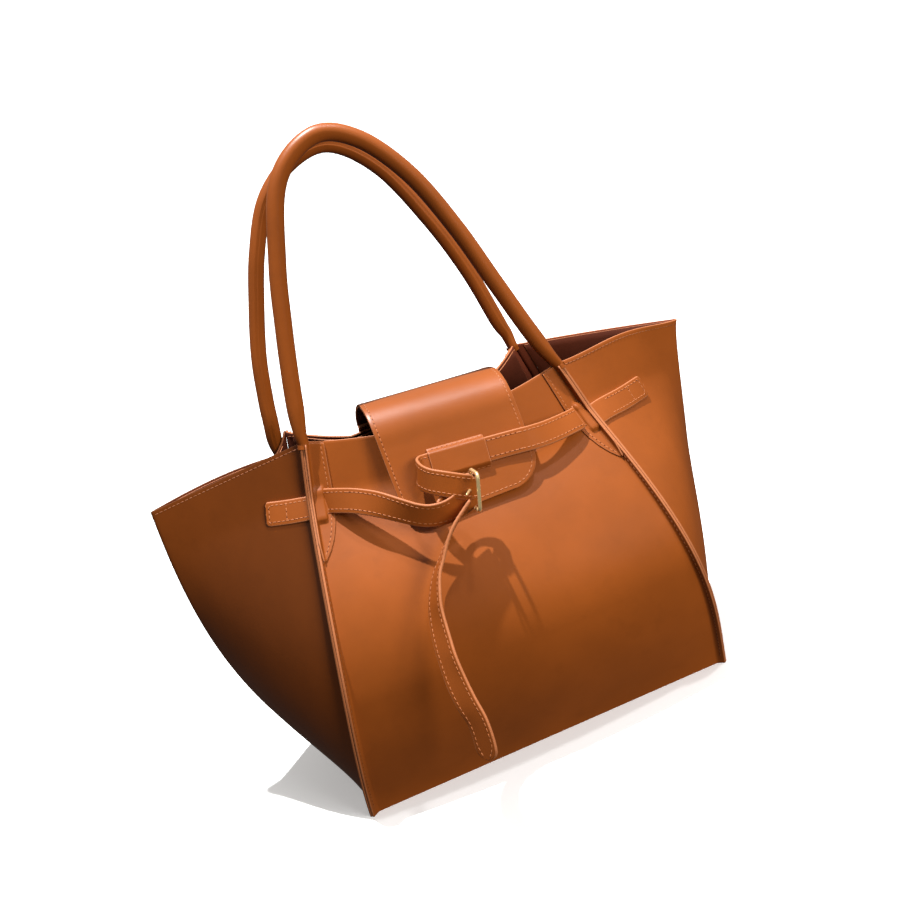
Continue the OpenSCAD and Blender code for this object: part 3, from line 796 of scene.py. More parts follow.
def surface_line(place, us, vs, d, side):
    """Points and normals of a line on a wall; side turns the normal outwards."""
    e = 0.01
    def spot(u, v):
        return np.array([place(a, b) for a, b in zip(u, v)]).reshape(-1, 3)
    p = spot(us, vs)
    n = unit(np.cross(spot(us + e, vs) - spot(us - e, vs), p - spot(us, vs - e))) * side
    return p + n * d, n


def wall_pieces(size, look):
    """Panels and gussets with their stitched rims and corner ridges."""
    w = Walls(size)
    v = wall_rows(58)
    t, low = size.leather_t, size.inset
    for face, name in ((FRONT, "front_panel"), (REAR, "rear_panel")):
        grid = w.panel_grid(face, v, PANEL_US)
        grid = grid if face == FRONT else grid[:, ::-1]
        made(name + "_leather", grid, t, look.tan, look.edge, look.flesh, "bag", "tan_leather", name)
        us = np.linspace(-0.97, 0.97, 120)
        rim = np.full(120, 1 - low / PANEL_RISE)
        line, n = surface_line(lambda a, b: w.panel(face, a, b), us, rim, t / 2, face)
        stitch_line("bag", line, n, True)
    for side, name in ((LEFT, "left_gusset"), (RIGHT, "right_gusset")):
        grid = w.gusset_grid(side, v, WING_WS)
        grid = grid if side == RIGHT else grid[:, ::-1]
        made(name + "_leather", grid, t, look.tan, look.edge, look.flesh, "bag", "tan_leather", name)
        rim = np.full(90, 1 - low / GUSSET_RISE)
        for ws in (np.linspace(-0.97, -0.05, 90), np.linspace(0.05, 0.97, 90)):
            line, n = surface_line(lambda a, b: w.gusset(side, a, b), ws, rim, t / 2, side)
            stitch_line("bag", line, n, True)
    for side in (LEFT, RIGHT):
        for face in (FRONT, REAR):
            vs = np.linspace(0.03, 0.985, 150)
            ridge = w.ridge_dir(side, face, vs)
            for on_panel in (True, False):
                c = w.corner(side, face, vs, on_panel)
                off = unit(c - w.seam(side, face, vs))
                off = unit(off - ridge * np.sum(off * ridge, axis=1, keepdims=True))
                stitch_line("bag", c + ridge * 4.2 + off * t / 2, off, True)


def lining_pieces(size, look):
    """Linings, a little inside the walls."""
    w = Walls(size)
    v = np.linspace(0.03, 0.996, 46)
    t = size.lining_t
    for face, name, air in ((FRONT, "front_lining", 0.4), (REAR, "rear_lining", 1.4)):
        grid = w.panel_grid(face, v, np.linspace(-0.94, 0.94, 60), flange=False)
        grid = grid if face == FRONT else grid[:, ::-1]
        made(name + "_sheet", grid, t, look.inside, look.edge, look.inside, "bag", "dark_lining", name,
             shift=-(size.leather_t / 2 + air + t / 2))
    ws = np.concatenate([np.linspace(-0.94, -0.07, 30), np.linspace(0.07, 0.94, 30)])
    for side, name in ((LEFT, "left_gusset_lining"), (RIGHT, "right_gusset_lining")):
        grid = w.gusset_grid(side, v, ws, flange=False)
        grid = grid if side == RIGHT else grid[:, ::-1]
        made(name + "_sheet", grid, t, look.inside, look.edge, look.inside, "bag", "dark_lining", name,
             shift=-(size.leather_t / 2 + 0.6 + t / 2))


def floor_grid(half_w, half_d, z, radius):
    """A flat sheet with rounded corners."""
    y = np.concatenate([-half_d + radius * (1 - np.sin(np.radians((90, 70, 45, 20)))),
                        np.linspace(-half_d + radius, half_d - radius, 14),
                        half_d - radius * (1 - np.sin(np.radians((20, 45, 70, 90))))])
    d = np.clip(np.abs(y) - (half_d - radius), 0, radius)
    half = half_w - radius + np.sqrt(np.maximum(radius * radius - d * d, 0.01))
    x = half[:, None] * np.linspace(-1, 1, 30)[None]
    return points(x, y[:, None], z + 0 * x)


def base_pieces(size, look):
    """The leather floor and the board on it."""
    inset = size.leather_t / 2 + SEAM_GAP
    grid = floor_grid(size.base_w / 2 - inset, size.base_d / 2 - inset, 1, 1.5)[:, ::-1]
    made("base_leather", grid, 2, look.tan, look.edge, look.flesh, "bag", "tan_leather", "base_panel")
    edge = inset + size.lining_t + 2
    grid = floor_grid(size.base_w / 2 - edge, size.base_d / 2 - edge, 2 + SEAM_GAP + 1.5, 6)
    made("base_stiffener", grid, 3, look.board, look.board, look.board, "bag", "board", "base_board")


# Handles
FRONT_LINE = [(-104, 352), (-95, 393), (-83, 440), (-61, 498), (-25, 522), (8, 510), (38, 473), (60, 424),
              (77, 373), (92, 328)]
REAR_LINE = [(-124, 332), (-117, 368), (-104, 410), (-88, 453), (-66, 493), (-34, 517), (2, 521), (38, 490),
             (67, 434), (87, 380), (100, 328)]
FOOT_X = {FRONT: (-111, 101.5), REAR: (-127, 104.5)}
LEAF_ROWS = (9.93, 10.2, 10.55, 11, 11.7, 12.4, 13.95)
LEAF_REACH = (0.05, 0.38, 0.66, 0.88, 1, 1, 0.86)
LEAF_AT = np.concatenate([np.linspace(9.93, 10.6, 12)[:-1], np.linspace(10.6, 13.5, 34)[:-1],
                          np.linspace(13.5, 13.95, 6)])
SLIT = {LEFT: 7.0, RIGHT: 6.0}
STRAP_Z = {LEFT: 253.5, RIGHT: 243.5}


def handle_axis(w, face):
    """The middle line from the left ridge over the handle to the right ridge."""
    line = FRONT_LINE if face == FRONT else REAR_LINE
    feet = [(FOOT_X[face][k], w.corner_h(side, face) + 12) for k, side in ((0, LEFT), (1, RIGHT))]
    middle = np.array([feet[0]] + line + [feet[1]], float)
    off = 57 - 7 * np.clip((middle[:, 1] - 300) / 220, 0, 1)
    tube_line = points(middle[:, 0], face * off, middle[:, 1])

    def neck(side):
        hangs_outside = side == LEFT and face == REAR
        v = 1 - np.array([34, 24, 14, 5] if hangs_outside else [5.0, 3.5, 2.0, 0.0]) / 300
        out = 6.0 if hangs_outside else 2.8
        shift = points([-3.0, -6.0, -9.0, -11.0], 0, 0) if hangs_outside else 0
        return w.seam(side, face, v) + w.ridge_dir(side, face, v) * out + shift
    return np.concatenate([neck(LEFT), tube_line, neck(RIGHT)[::-1]])


def handle_piece(w, size, look, face):
    """A rolled handle that runs into both ridges, open at its ends and with a closing groove; the hollow at
    each end is closed by a cap of painted shade.
    """
    path = spline(handle_axis(w, face), 9)
    at = lengths(path)
    down = np.minimum(at, at[-1] - at)
    r = size.handle_d / 2
    share = smooth(down / 36)
    deep = mix(6.0, r, share)
    thick = mix(4.4, r, share)
    left_dir = w.ridge_dir(LEFT, face, np.array(1.0))
    right_dir = w.ridge_dir(RIGHT, face, np.array(1.0))
    toward = mix(left_dir, right_dir, smooth(at / at[-1])[:, None])
    ahead = unit(np.gradient(path, axis=0))
    b = squared(path, toward)
    c = np.cross(ahead, b)
    sides = 40
    angle = np.linspace(0, 2 * math.pi, sides, endpoint=False)
    beside = np.abs(angle - math.pi)
    groove = 1 - 0.10 * np.exp(-(beside / 0.05) ** 2) + 0.02 * np.exp(-((beside - 0.2) / 0.1) ** 2)
    ring = path[:, None] + groove[None, :, None] * (b[:, None] * (deep[:, None] * np.cos(angle))[..., None]
                                                  + c[:, None] * (thick[:, None] * np.sin(angle))[..., None])

    def end_rings(k, inward):
        """Cut edge and the hollow behind it, from outside to inside; the deepest ring is painted shade in the
        dark lining colour.
        """
        base = ring[k]
        wall = unit(path[k] - base)
        return [(base + wall * 0.5 - inward * 0.3, 1), (base + wall * 1.0 - inward * 0.2, 1),
                (base + wall * 1.6 + inward * 0.4, 1), (base + wall * 1.8 + inward * 4.0, 2)]
    start, end = end_rings(0, ahead[0]), end_rings(-1, -ahead[-1])
    rings, slots = zip(*start[::-1], *((points_round, 0) for points_round in ring), *end)
    verts = np.concatenate(rings)
    n = len(rings)
    faces = ring_faces(n, sides)
    marks = [max(slots[i], slots[i + 1]) for i in range(n - 1) for k in range(sides)]
    # The end caps take the dark lining colour too: painted shade closing each hollow.
    faces += [tuple(range(sides))[::-1], tuple((n - 1) * sides + k for k in range(sides))]
    marks += [2, 2]
    if volume(verts, [f for f in faces if len(f) == 4]) < 0:
        faces = [f[::-1] for f in faces]
    name = "front_handle" if face == FRONT else "rear_handle"
    piece = new_mesh(name + "_leather", verts, faces, [look.tan_handle, look.edge, look.inside], marks)
    top = min(w.corner_h(LEFT, face), w.corner_h(RIGHT, face))
    high = max(w.corner_h(LEFT, face), w.corner_h(RIGHT, face))
    (top - 4) * MM
    (high + 26) * MM
    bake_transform(piece)
    finish_piece(piece, None, "tan_leather", name + "_tube", name + "_core")


def leaf_grid(w, size, side, face, cols=26):
    """The leaf over a panel's end: from the ridge round its foot to the leaf's curved edge."""
    v = LEAF_AT / 14
    reach = np.interp(LEAF_AT, LEAF_ROWS, LEAF_REACH) * size.tab_w
    fin = np.interp(LEAF_AT, (9.93, 10.2, 10.55), (0.3, 0.6, 0.95)) * size.ridge
    c, f = w.corner(side, face, v, True), w.ridge_dir(side, face, v)
    far = w.panel(face, side * 0.86, v)
    e = unit(far - c)
    n1 = unit(e - f * np.sum(e * f, axis=1, keepdims=True))
    n2 = unit(f - e * np.sum(f * e, axis=1, keepdims=True))
    under = tab_under(size, face)
    h = under + size.tab_t / 2
    bend = c + (n1 + n2) * (h / (1 + np.sum(n1 * n2, axis=1)))[:, None]
    z = c[:, 2]
    bump = smooth((size.strap_w / 2 + 5.0 - np.abs(z - STRAP_Z[side])) / 4.0) if face == FRONT else 0 * z
    rows = []
    for k in range(len(v)):
        t = np.linspace(0, 1, 8)[:, None]
        a, b = bend[k] + f[k] * 2.6, bend[k] + e[k] * 2.6
        turn = a * (1 - t) ** 2 + bend[k] * 2 * t * (1 - t) + b * t ** 2
        crest, far_end = bend[k] + f[k] * size.ridge * 1.2, bend[k] + e[k] * size.tab_w * 1.3
        line = np.concatenate([[crest], turn, [far_end]])
        spots = lengths(line)
        middle = spots[5]
        s = middle + np.linspace(-fin[k], reach[k], cols)
        p = along(line, s)
        inside_slit = (1 - smooth((s - middle - SLIT[side]) / 0.8)) * smooth((s - middle + 3) / 3)
        lift = bump[k] * (size.strap_t + 0.8) * inside_slit
        rows.append(p + n2[k] * lift[:, None])
    return np.stack(rows), n2


def tab_under(size, face):
    """Distance from a panel's middle to the leaf's underside."""
    return size.leather_t / 2 + (1.3 if face == REAR else 0.3)


def leaf_piece(w, size, look, side, face):
    """The leaf with its stitches along the curved edge."""
    grid, n2 = leaf_grid(w, size, side, face)
    outwards = np.sum(grid_normals(grid)[10, 20] * n2[10]) > 0
    grid = grid if outwards else grid[:, ::-1]
    name = ("front" if face == FRONT else "rear") + ("_left" if side == LEFT else "_right") + "_handle_tab"
    made(name + "_leather", grid, size.tab_t, look.tan, look.edge, look.flesh, "bag", "tan_leather", name,
         edge_round=0.7)
    edge = -1 if outwards else 0
    inner = -5 if outwards else 4
    normal = grid_normals(grid)
    way = unit(grid[:, inner] - grid[:, edge])
    line = grid[:, edge] + way * 2.4 + normal[:, edge] * size.tab_t / 2
    stitch_line("bag", line[3:], normal[3:, inner])


def handle_pieces(size, look):
    """Both handles and their four leaves."""
    w = Walls(size)
    for face in (FRONT, REAR):
        handle_piece(w, size, look, face)
        for side in (LEFT, RIGHT):
            leaf_piece(w, size, look, side, face)


# Flap, its seat and the keeper
FLAP_POINTS = [(20.5, 285.8), (11, 293.5), (-8, 301.5), (-29, 306.5), (-45, 307.5), (-58, 305), (-68, 298.5),
               (-75, 288), (-79, 274), (-84, 255), (-90, 236), (-97, 216)]
FLAP_X = -0.5
FLAP_TILT = 0.07
KEEPER_AT = (-2.2, -88.2, 253.2)
KEEPER_LEAN = -15.7
KEEPER_TURN = 5.1
KEEPER_SIZE = (46, 26)


def flap_band():
    """The flap's way over the rear rim and down the front."""
    line = spline([(FLAP_X, y, z) for y, z in FLAP_POINTS], 10)
    s = lengths(line)
    across = points(-1 + 0 * s, 0, FLAP_TILT * np.minimum(1, s / 60))
    return Band(line, across, (0, 0, 1))


def flap_pieces(size, look):
    """The flap's two layers, its stitches and its sewn seat."""
    w = Walls(size)
    band = flap_band()
    half, r, t = size.flap_w / 2, size.flap_r, size.flap_t
    s = rounded_rows(band.length, r, step=2.2)
    grid = band.grid(s, rounded_half(s, half, band.length, r), 41)
    off = SEAM_GAP / 2 + t / 2
    made("flap_leather", grid, t, look.tan, look.edge, look.flesh, "flap", "tan_leather", "flap", shift=off)
    made("flap_back", grid, t, look.flesh, look.edge, look.inside, "flap", "dark_lining", "flap_lining",
         shift=-off)
    inset = size.inset
    end = band.length - inset
    curve = [(end - (r - inset) * (1 - math.sin(a)), half - inset - (r - inset) * (1 - math.cos(a)))
             for a in np.radians(np.arange(0, 91, 9))]
    edge = [(6, half - inset)] + curve
    band.sewn("flap", edge + [(a, -b) for a, b in edge[::-1]], off + t / 2)
    v = np.linspace(12.0 / 14, 14.2 / 14, 12)
    us = np.linspace(-0.47, 0.47, 30)
    seat = np.stack([w.panel(REAR, u, v) for u in us], axis=1)[:, ::-1]
    made("flap_seat_leather", seat, 2 * t, look.tan, look.edge, look.flesh, "bag", "tan_leather", "flap_seat",
         shift=size.leather_t / 2 + 0.4 + t)
    for share in (0.15, 0.85):
        k = int(round(share * 11))
        n = grid_normals(seat)[k]
        stitch_line("bag", seat[k, 1:-1] + n[1:-1] * (size.leather_t / 2 + 0.4 + 2 * t), n[1:-1])


def keeper_piece(size, look):
    """A sewn band that bulges over the strap."""
    turn = Matrix.Rotation(math.radians(KEEPER_TURN), 3, "Y")
    axes = np.array(turn @ Matrix.Rotation(math.radians(KEEPER_LEAN), 3, "X"))
    half_w, half_h = KEEPER_SIZE[0] / 2, KEEPER_SIZE[1] / 2
    z = np.linspace(-half_h, half_h, 40)
    rise = 1.2 + (size.strap_t + 1.6) * smooth((half_h - np.abs(z)) / 4.2)
    x = np.linspace(-half_w, half_w, 50)
    y = -rise[:, None] + 3.0 + 0 * x[None]
    local = points(x[None] + 0 * z[:, None], y, z[:, None] + 0 * x[None])
    grid = local @ axes.T + np.array(KEEPER_AT)
    made("keeper_leather", grid, 1.6, look.tan, look.edge, look.flesh, "flap", "tan_leather", "flap_keeper",
         edge_round=0.8)
    n = grid_normals(grid)
    for k in (2, -3):
        stitch_line("flap", grid[k, 2:-2] + n[k, 2:-2] * 0.8, n[k, 2:-2])


# The belt
def wall_spot(place, z):
    """A point at a height; place gives the wall's points from their v."""
    top = place(np.array(1.0))[..., 2]
    return place(np.array(z / float(top)))


STRAP_ENDS = {LEFT: [("w", -0.745, 254.5), ("w", -0.80, 253.4), ("w", -0.875, 252.2), ("w", -0.93, 251.6),
                     ("seam", 0, 251), ("u", -0.93, 251.0), ("u", -0.88, 250.5)],
              RIGHT: [("w", -0.55, 246.2), ("w", -0.625, 245.2), ("w", -0.75, 243.0), ("w", -0.875, 241.5),
                      ("w", -0.93, 240.8), ("seam", 0, 240), ("u", 0.93, 243.5), ("u", 0.88, 245.5)]}


def strap_end_band(w, size, side):
    """The sewn strap end's way over the gusset and the corner seam onto the panel."""
    off = size.leather_t / 2 + 0.4 + size.strap_t / 2

    def spot(kind, at, z, dz):
        if kind == "w":
            return wall_spot(lambda v: w.gusset(side, at, v), z + dz)
        if kind == "u":
            return wall_spot(lambda v: w.panel(FRONT, at, v), z + dz)
        return wall_spot(lambda v: w.seam(side, FRONT, v), z + dz)
    rows = STRAP_ENDS[side]
    middle = np.array([spot(*r, 0) for r in rows])
    high = np.array([spot(*r, 9) for r in rows])
    low = np.array([spot(*r, -9) for r in rows])
    up = unit(high - low)
    ahead = unit(np.gradient(middle, axis=0))
    out = unit(np.cross(ahead, up)) * side
    out = out if out[0] @ np.array([side, -1.0, 0]) > 0 else -out
    return Band(spline(middle + out * off, 5), spline(up, 5), (side, -1, 0))


LEFT_RUN = [(-113, -62.5, 253.5), (-107, -69.5, 253), (-100, -77, 252), (-92.5, -84.5, 250.5),
            (-85, -91, 248), (-78, -96.5, 245), (-71, -101.5, 241), (-62, -108, 235.5),
            (-52, -114, 229.5), (-43, -117.5, 226), (-32, -121, 225), (-22, -123, 226.5),
            (-11, -122.8, 231), (-4.5, -121.6, 233.5), (-2.6, -118.2, 235), (-4.5, -114.8, 236),
            (-13, -112.5, 235), (-21, -112.7, 232), (-28, -115, 228.5), (-33, -117.3, 226)]
LEFT_LEAN = [(0.1, 0.3, 0.95), (0.1, 0.4, 0.9), (0.1, 0.45, 0.9), (0.15, 0.4, 0.9), (0.2, 0.3, 0.9),
             (0.2, 0.2, 0.95), (0.2, 0.05, 0.97), (0.15, -0.1, 0.97), (0.1, -0.22, 0.95), (0, -0.26, 0.95),
             (0, -0.24, 0.95), (0, -0.12, 1), (0.2, 0, 0.97), (0.24, 0, 0.97), (0.24, 0, 0.97),
             (0.24, 0, 0.97), (0.24, 0, 0.97), (0.2, 0, 0.97), (0.1, -0.1, 1), (0, -0.2, 1)]
RIGHT_RUN = [(107, -71, 245), (97, -76.5, 245.4), (76, -85, 246.4), (60, -89, 248), (47, -88.9, 249.4),
             (29, -88.2, 251), (1, -88.2, 253.5), (-28, -88.2, 256.1), (-34.5, -91, 256.4),
             (-38.5, -98, 255.3), (-38.5, -106, 253.5), (-34.5, -114, 250.5), (-27, -120.5, 247),
             (-18, -124, 242.5), (-9, -125.4, 238), (-3, -125.8, 236.4)]
RIGHT_LEAN = [(0, 0.5, 0.88), (0, 0.5, 0.88), (0, 0.35, 0.93), (0, 0.28, 0.96), (0, 0.27, 0.96),
              (0, 0.27, 0.96), (0, 0.27, 0.96), (0.05, 0.27, 0.96), (0.2, 0.2, 0.95), (0.33, 0.1, 0.94),
              (0.33, 0, 0.94), (0.3, 0, 0.95), (0.3, 0, 0.95), (0.3, 0, 0.95), (0.25, 0, 0.97),
              (0.24, 0, 0.97)]
TAIL = [(-12.3, -124, 226.4), (-28.1, -126.5, 215.7), (-38, -128, 205.8), (-47.9, -130.5, 194.1),
        (-55.9, -134, 185), (-63.9, -142, 170.7), (-67.6, -148, 159.2), (-70.5, -157, 145.2),
        (-72.1, -165, 132.3), (-72.4, -173, 116.1), (-71.2, -180, 101.9), (-68.9, -186, 88.6),
        (-69.3, -190, 73.1), (-71.2, -191.5, 61)]
TAIL_TURN = (0, 1, 3, 11, 17, 27, 34, 42, 44, 51, 51, 46, 46, 46)
TAIL_EDGE_ON = (0.106, 0.909, -0.405)


def tail_band():
    """The tail hangs edge-on below the buckle and turns its face as it goes down."""
    path = spline(TAIL, 6)
    turn = np.radians(spline([(a, 0.0) for a in TAIL_TURN], 6)[:, :1])
    edge_on = np.array(TAIL_EDGE_ON)
    face_on = unit(np.cross(np.gradient(path, axis=0), edge_on))
    return Band(path, face_on * np.sin(turn) - edge_on * np.cos(turn), (-1, -1, 0))


def strap_piece(name, band, look, size, body, *nodes, tip=3.0, both=False):
    """A strap of its full width with one or both ends rounded."""
    half = size.strap_w / 2
    s = rounded_rows(band.length, tip, 0.0, 2.0, both)
    grid = band.grid(s, rounded_half(s, half, band.length, tip, both), 11)
    piece = leather(name, grid, size.strap_t, look.tan, look.edge, look.tan, 0.9)
    return finish_piece(piece, body, "tan_leather", *nodes)


def belt_pieces(size, look):
    """Sewn ends, both straps and the tail, with their stitches."""
    w = Walls(size)
    t = size.strap_t
    x = size.strap_w / 2 - 2.3
    for side, name in ((LEFT, "left_strap_end"), (RIGHT, "right_strap_end")):
        band = strap_end_band(w, size, side)
        strap_piece(name + "_leather", band, look, size, "bag", name, tip=2.0, both=True)
        far = 18
        band.sewn("bag", [(far + 26, x), (2.6, x), (2.6, -x), (far + 26, -x)], t / 2)
        band.sewn("bag", [(far, x - 0.6), (far, -x + 0.6)], t / 2)
    run = Band(spline(LEFT_RUN, 6), spline(LEFT_LEAN, 6), (0, -1, 0))
    piece = strap_piece("left_strap_leather", run, look, size, None, "left_strap_run", "left_strap_loop",
                        tip=1.0)
    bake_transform(piece)
    run.sewn("flap", [(26, x), (112, x)], t / 2)
    run.sewn("flap", [(26, -x), (112, -x)], t / 2)
    run.sewn("bag", [(2, x), (24, x)], t / 2)
    run.sewn("bag", [(2, -x), (24, -x)], t / 2)
    fold = Band(spline(RIGHT_RUN, 6), spline(RIGHT_LEAN, 6), (0, -1, 0))
    piece = strap_piece("right_strap_leather", fold, look, size, None, "right_strap_run", "right_strap_fold",
                        tip=7.0)
    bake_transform(piece)
    for e in (x, -x):
        fold.sewn("flap", [(62, e), (fold.length - 2, e)], t / 2)
        fold.sewn("flap", [(135, e), (fold.length - 2, e)], t / 2, face=-1)
        fold.sewn("bag", [(2, e), (60, e)], t / 2)
    tail = tail_band()
    strap_piece("strap_tail_leather", tail, look, size, "tail", "strap_tail", tip=8.0)
    for face in (1, -1):
        for e in (x, -x):
            tail.sewn("tail", [(3, e), (tail.length - 9, e), (tail.length - 3.2, e * 0.55)], t / 2, face=face)


# The buckle
def buckle_pieces(look):
    """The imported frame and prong, in gold."""
    for node in ("buckle_frame", "buckle_prong"):
        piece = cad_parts[node]
        piece.data.materials.clear()
        piece.data.materials.append(look.gold)


# Stitches
def stitch_pieces(size, look):
    """Sews all lines, the body's rims and seams in a darker thread."""
    spare = []
    groups = MADE.get("stitches", {})
    for dark in (False, True):
        bodies = sorted(body for body, d in groups if d == dark)
        if not bodies:
            continue
        thread = capsule("thread_shape", size.pitch * 0.74, size.thread_d / 2, 0.7, look.thread)
        # Each needle hole is a flat dark capsule: painted shade between the threads.
        hole = capsule("hole_shape", size.pitch * 0.34, size.thread_d * 0.5, 0.35, look.hole)
        tree, pitch_id = stitch_tree(thread, hole, look.thread_dark if dark else look.thread, look.hole)
        for body in bodies:
            name = body + ("_seam_stitches" if dark else "_edge_stitches")
            sew(name, body, groups[(body, dark)], tree, pitch_id, size.pitch)
        spare += [thread, hole]
    for shape in spare:
        bpy.data.objects.remove(shape)


# Stage, light and camera
CAMERA_AT = (-0.1511, -0.8674, 0.4409)
AZIMUTH, ELEVATION, ROLL = -10.46, 12.73, 18.34
LENS = 41.24
LIT_POINT = (0, 0, 0.2)
BACKDROP_BENDS = np.radians(np.arange(9, 91, 9))


def add_light(name, at, energy, size):
    """A round soft light that looks at the bag."""
    data = bpy.data.lights.new(name, "AREA")
    data.shape, data.size, data.energy = "DISK", size, energy
    lamp = bpy.data.objects.new(name, data)
    bpy.context.scene.collection.objects.link(lamp)
    back = unit(np.array(at) - np.array(LIT_POINT))
    side = unit(np.cross((0.0, 1.0, 0.0), back))
    up = np.cross(back, side)
    lamp.matrix_world = Matrix([(side[k], up[k], back[k], at[k]) for k in range(3)] + [(0, 0, 0, 1)])
    return lamp


def stage_pieces(look):
    """A floor that curves up into a wall, soft light from above and the camera."""
    wide, back, r = 6.0, 1.6, 0.8
    ys = [*np.linspace(-5, back - r, 12), *(back - r + r * np.sin(BACKDROP_BENDS)), back]
    zs = [0.0] * 12 + [*(r * (1 - np.cos(BACKDROP_BENDS))), 6.0]
    verts = [(x / MM, y / MM, z / MM) for y, z in zip(ys, zs) for x in (-wide, 0, wide)]
    n = len(ys)
    faces = [(i * 3 + k, i * 3 + k + 1, i * 3 + k + 4, i * 3 + k + 3) for i in range(n - 1) for k in (0, 1)]
    floor = new_mesh("plain_backdrop", verts, faces, [look.floor])
    floor.visible_diffuse = False
    floor.visible_glossy = False
    world = bpy.data.worlds.new("soft_room")
    room = Shader(world)
    split = room.node("ShaderNodeSeparateXYZ", {}, {0: room.place("Generated")})
    from_right, from_above = Value(room, split.outputs[0]), Value(room, split.outputs[2])
    glow = 0.06 + from_above.above(-0.1, 0.6) * (0.22 + from_right.above(-0.5, 0.7) * 0.36)
    seen = Value(room, room.node("ShaderNodeLightPath").outputs["Is Camera Ray"])
    room.put(room.tree.nodes["Background"].inputs[1], glow + seen * 0.8)
    room.put(room.tree.nodes["Background"].inputs[0], (1, 0.97, 0.93))
    bpy.context.scene.world = world
    spot = add_light("ceiling_spot", (-0.239, -0.230, 2.780), 160, 0.055)
    spot.light_linking.receiver_collection = bpy.data.collections.new("away_from_spot")
    add_light("second_spot", (0.9, -0.7, 2.7), 24, 0.2)
    add_light("front_glow", (1.3, -2.3, 0.8), 75, 1.4).visible_glossy = False
    a, p, roll = map(math.radians, (AZIMUTH, ELEVATION, ROLL))
    out = np.array([math.sin(a) * math.cos(p), -math.cos(a) * math.cos(p), math.sin(p)])
    right = unit(np.cross(-out, (0.0, 0.0, 1.0)))
    up = np.cross(right, -out)
    across = math.cos(roll) * right - math.sin(roll) * up
    above = math.sin(roll) * right + math.cos(roll) * up
    data = bpy.data.cameras.new("camera")
    data.lens, data.sensor_width, data.clip_start = LENS, 36, 0.01
    camera = bpy.data.objects.new("camera", data)
    bpy.context.scene.collection.objects.link(camera)
    rows = [(across[k], above[k], out[k], CAMERA_AT[k]) for k in range(3)]
    camera.matrix_world = Matrix(rows + [(0, 0, 0, 1)])
    bpy.context.scene.camera = camera
    bpy.context.scene.view_settings.view_transform = "Standard"


class BAG_OT_stage(bpy.types.Operator):
    """Adds the plain backdrop, the soft light and the camera"""
    bl_idname, bl_label = "bag.stage", "Stage"

    def execute(self, context):
        stage_pieces(finishes())
        return {"FINISHED"}


class BAG_OT_walls(bpy.types.Operator):
    """Makes the two panels and the two flared gussets with their corner ridges"""
    bl_idname, bl_label = "bag.walls", "Walls"

    def execute(self, context):
        wall_pieces(Sizes(), finishes())
        return {"FINISHED"}


class BAG_OT_linings(bpy.types.Operator):
    """Makes the linings inside the walls"""
    bl_idname, bl_label = "bag.linings", "Linings"

    def execute(self, context):
        lining_pieces(Sizes(), finishes())
        return {"FINISHED"}


class BAG_OT_base(bpy.types.Operator):
    """Makes the base leather and its stiffening board"""
    bl_idname, bl_label = "bag.base", "Base"

    def execute(self, context):
        base_pieces(Sizes(), finishes())
        return {"FINISHED"}


class BAG_OT_handles(bpy.types.Operator):
    """Makes the rolled handles and the leaves that hold them"""
    bl_idname, bl_label = "bag.handles", "Handles"

    def execute(self, context):
        handle_pieces(Sizes(), finishes())
        return {"FINISHED"}


class BAG_OT_flap(bpy.types.Operator):
    """Makes the flap, its lining and the place where it is sewn on"""
    bl_idname, bl_label = "bag.flap", "Flap"

    def execute(self, context):
        flap_pieces(Sizes(), finishes())
        return {"FINISHED"}


class BAG_OT_keeper(bpy.types.Operator):
    """Makes the keeper on the flap"""
    bl_idname, bl_label = "bag.keeper", "Keeper"

    def execute(self, context):
        keeper_piece(Sizes(), finishes())
        return {"FINISHED"}


class BAG_OT_belt(bpy.types.Operator):
    """Makes the two straps and the hanging tail"""
    bl_idname, bl_label = "bag.belt", "Belt"

    def execute(self, context):
        belt_pieces(Sizes(), finishes())
        return {"FINISHED"}


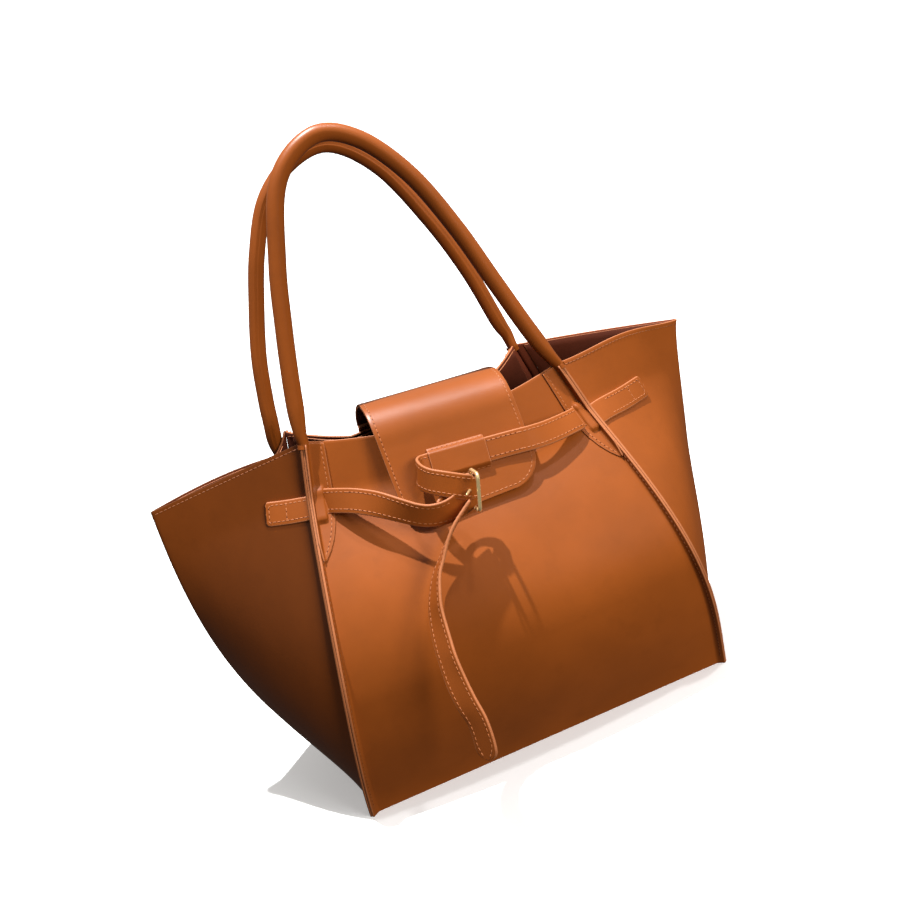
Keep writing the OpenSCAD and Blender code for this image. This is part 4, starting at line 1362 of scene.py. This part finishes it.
class BAG_OT_buckle(bpy.types.Operator):
    """Dresses the pin buckle in pale gold"""
    bl_idname, bl_label = "bag.buckle", "Buckle"

    def execute(self, context):
        buckle_pieces(finishes())
        return {"FINISHED"}


class BAG_OT_shade(bpy.types.Operator):
    """Keeps the ceiling spot off the left gusset, which turns away from it in the photograph"""
    bl_idname, bl_label = "bag.shade", "Shade"

    def execute(self, context):
        shaded = bpy.data.collections["away_from_spot"]
        shaded.objects.link(bpy.data.objects["left_gusset_leather"])
        shaded.collection_objects[0].light_linking.link_state = "EXCLUDE"
        return {"FINISHED"}


class BAG_OT_stitches(bpy.types.Operator):
    """Sews every stitch line that the pieces have asked for"""
    bl_idname, bl_label = "bag.stitches", "Stitches"

    def execute(self, context):
        stitch_pieces(Sizes(), finishes())
        return {"FINISHED"}


STEPS = (BAG_OT_stage, BAG_OT_walls, BAG_OT_linings, BAG_OT_base, BAG_OT_handles, BAG_OT_flap, BAG_OT_keeper,
         BAG_OT_belt, BAG_OT_buckle, BAG_OT_stitches, BAG_OT_shade)


class BAG_PT_sidebar(bpy.types.Panel):
    bl_label, bl_idname = "Trapeze bag", "BAG_PT_sidebar"
    bl_space_type, bl_region_type, bl_category = "VIEW_3D", "UI", "Bag"

    def draw(self, context):
        for group in GROUPS:
            box = self.layout.box()
            settings = getattr(context.scene, group)
            for prop in settings.bl_rna.properties:
                if prop.type == "FLOAT":
                    box.prop(settings, prop.identifier)
        for step in STEPS:
            self.layout.operator(step.bl_idname)


def register():
    """Adds the settings, the operators and the panel."""
    for group in GROUPS.values():
        bpy.utils.register_class(group)
    for name, group in GROUPS.items():
        setattr(bpy.types.Scene, name, PointerProperty(type=group))
    for step in (*STEPS, BAG_PT_sidebar):
        bpy.utils.register_class(step)


def unregister():
    """Removes what register adds."""
    for step in (BAG_PT_sidebar, *STEPS[::-1]):
        bpy.utils.unregister_class(step)
    for name, group in GROUPS.items():
        delattr(bpy.types.Scene, name)
        bpy.utils.unregister_class(group)


def main():
    """Builds the whole bag."""
    register()
    for step in STEPS:
        area, name = step.bl_idname.split(".")
        getattr(getattr(bpy.ops, area), name)()


if __name__ == "__main__":
    main()
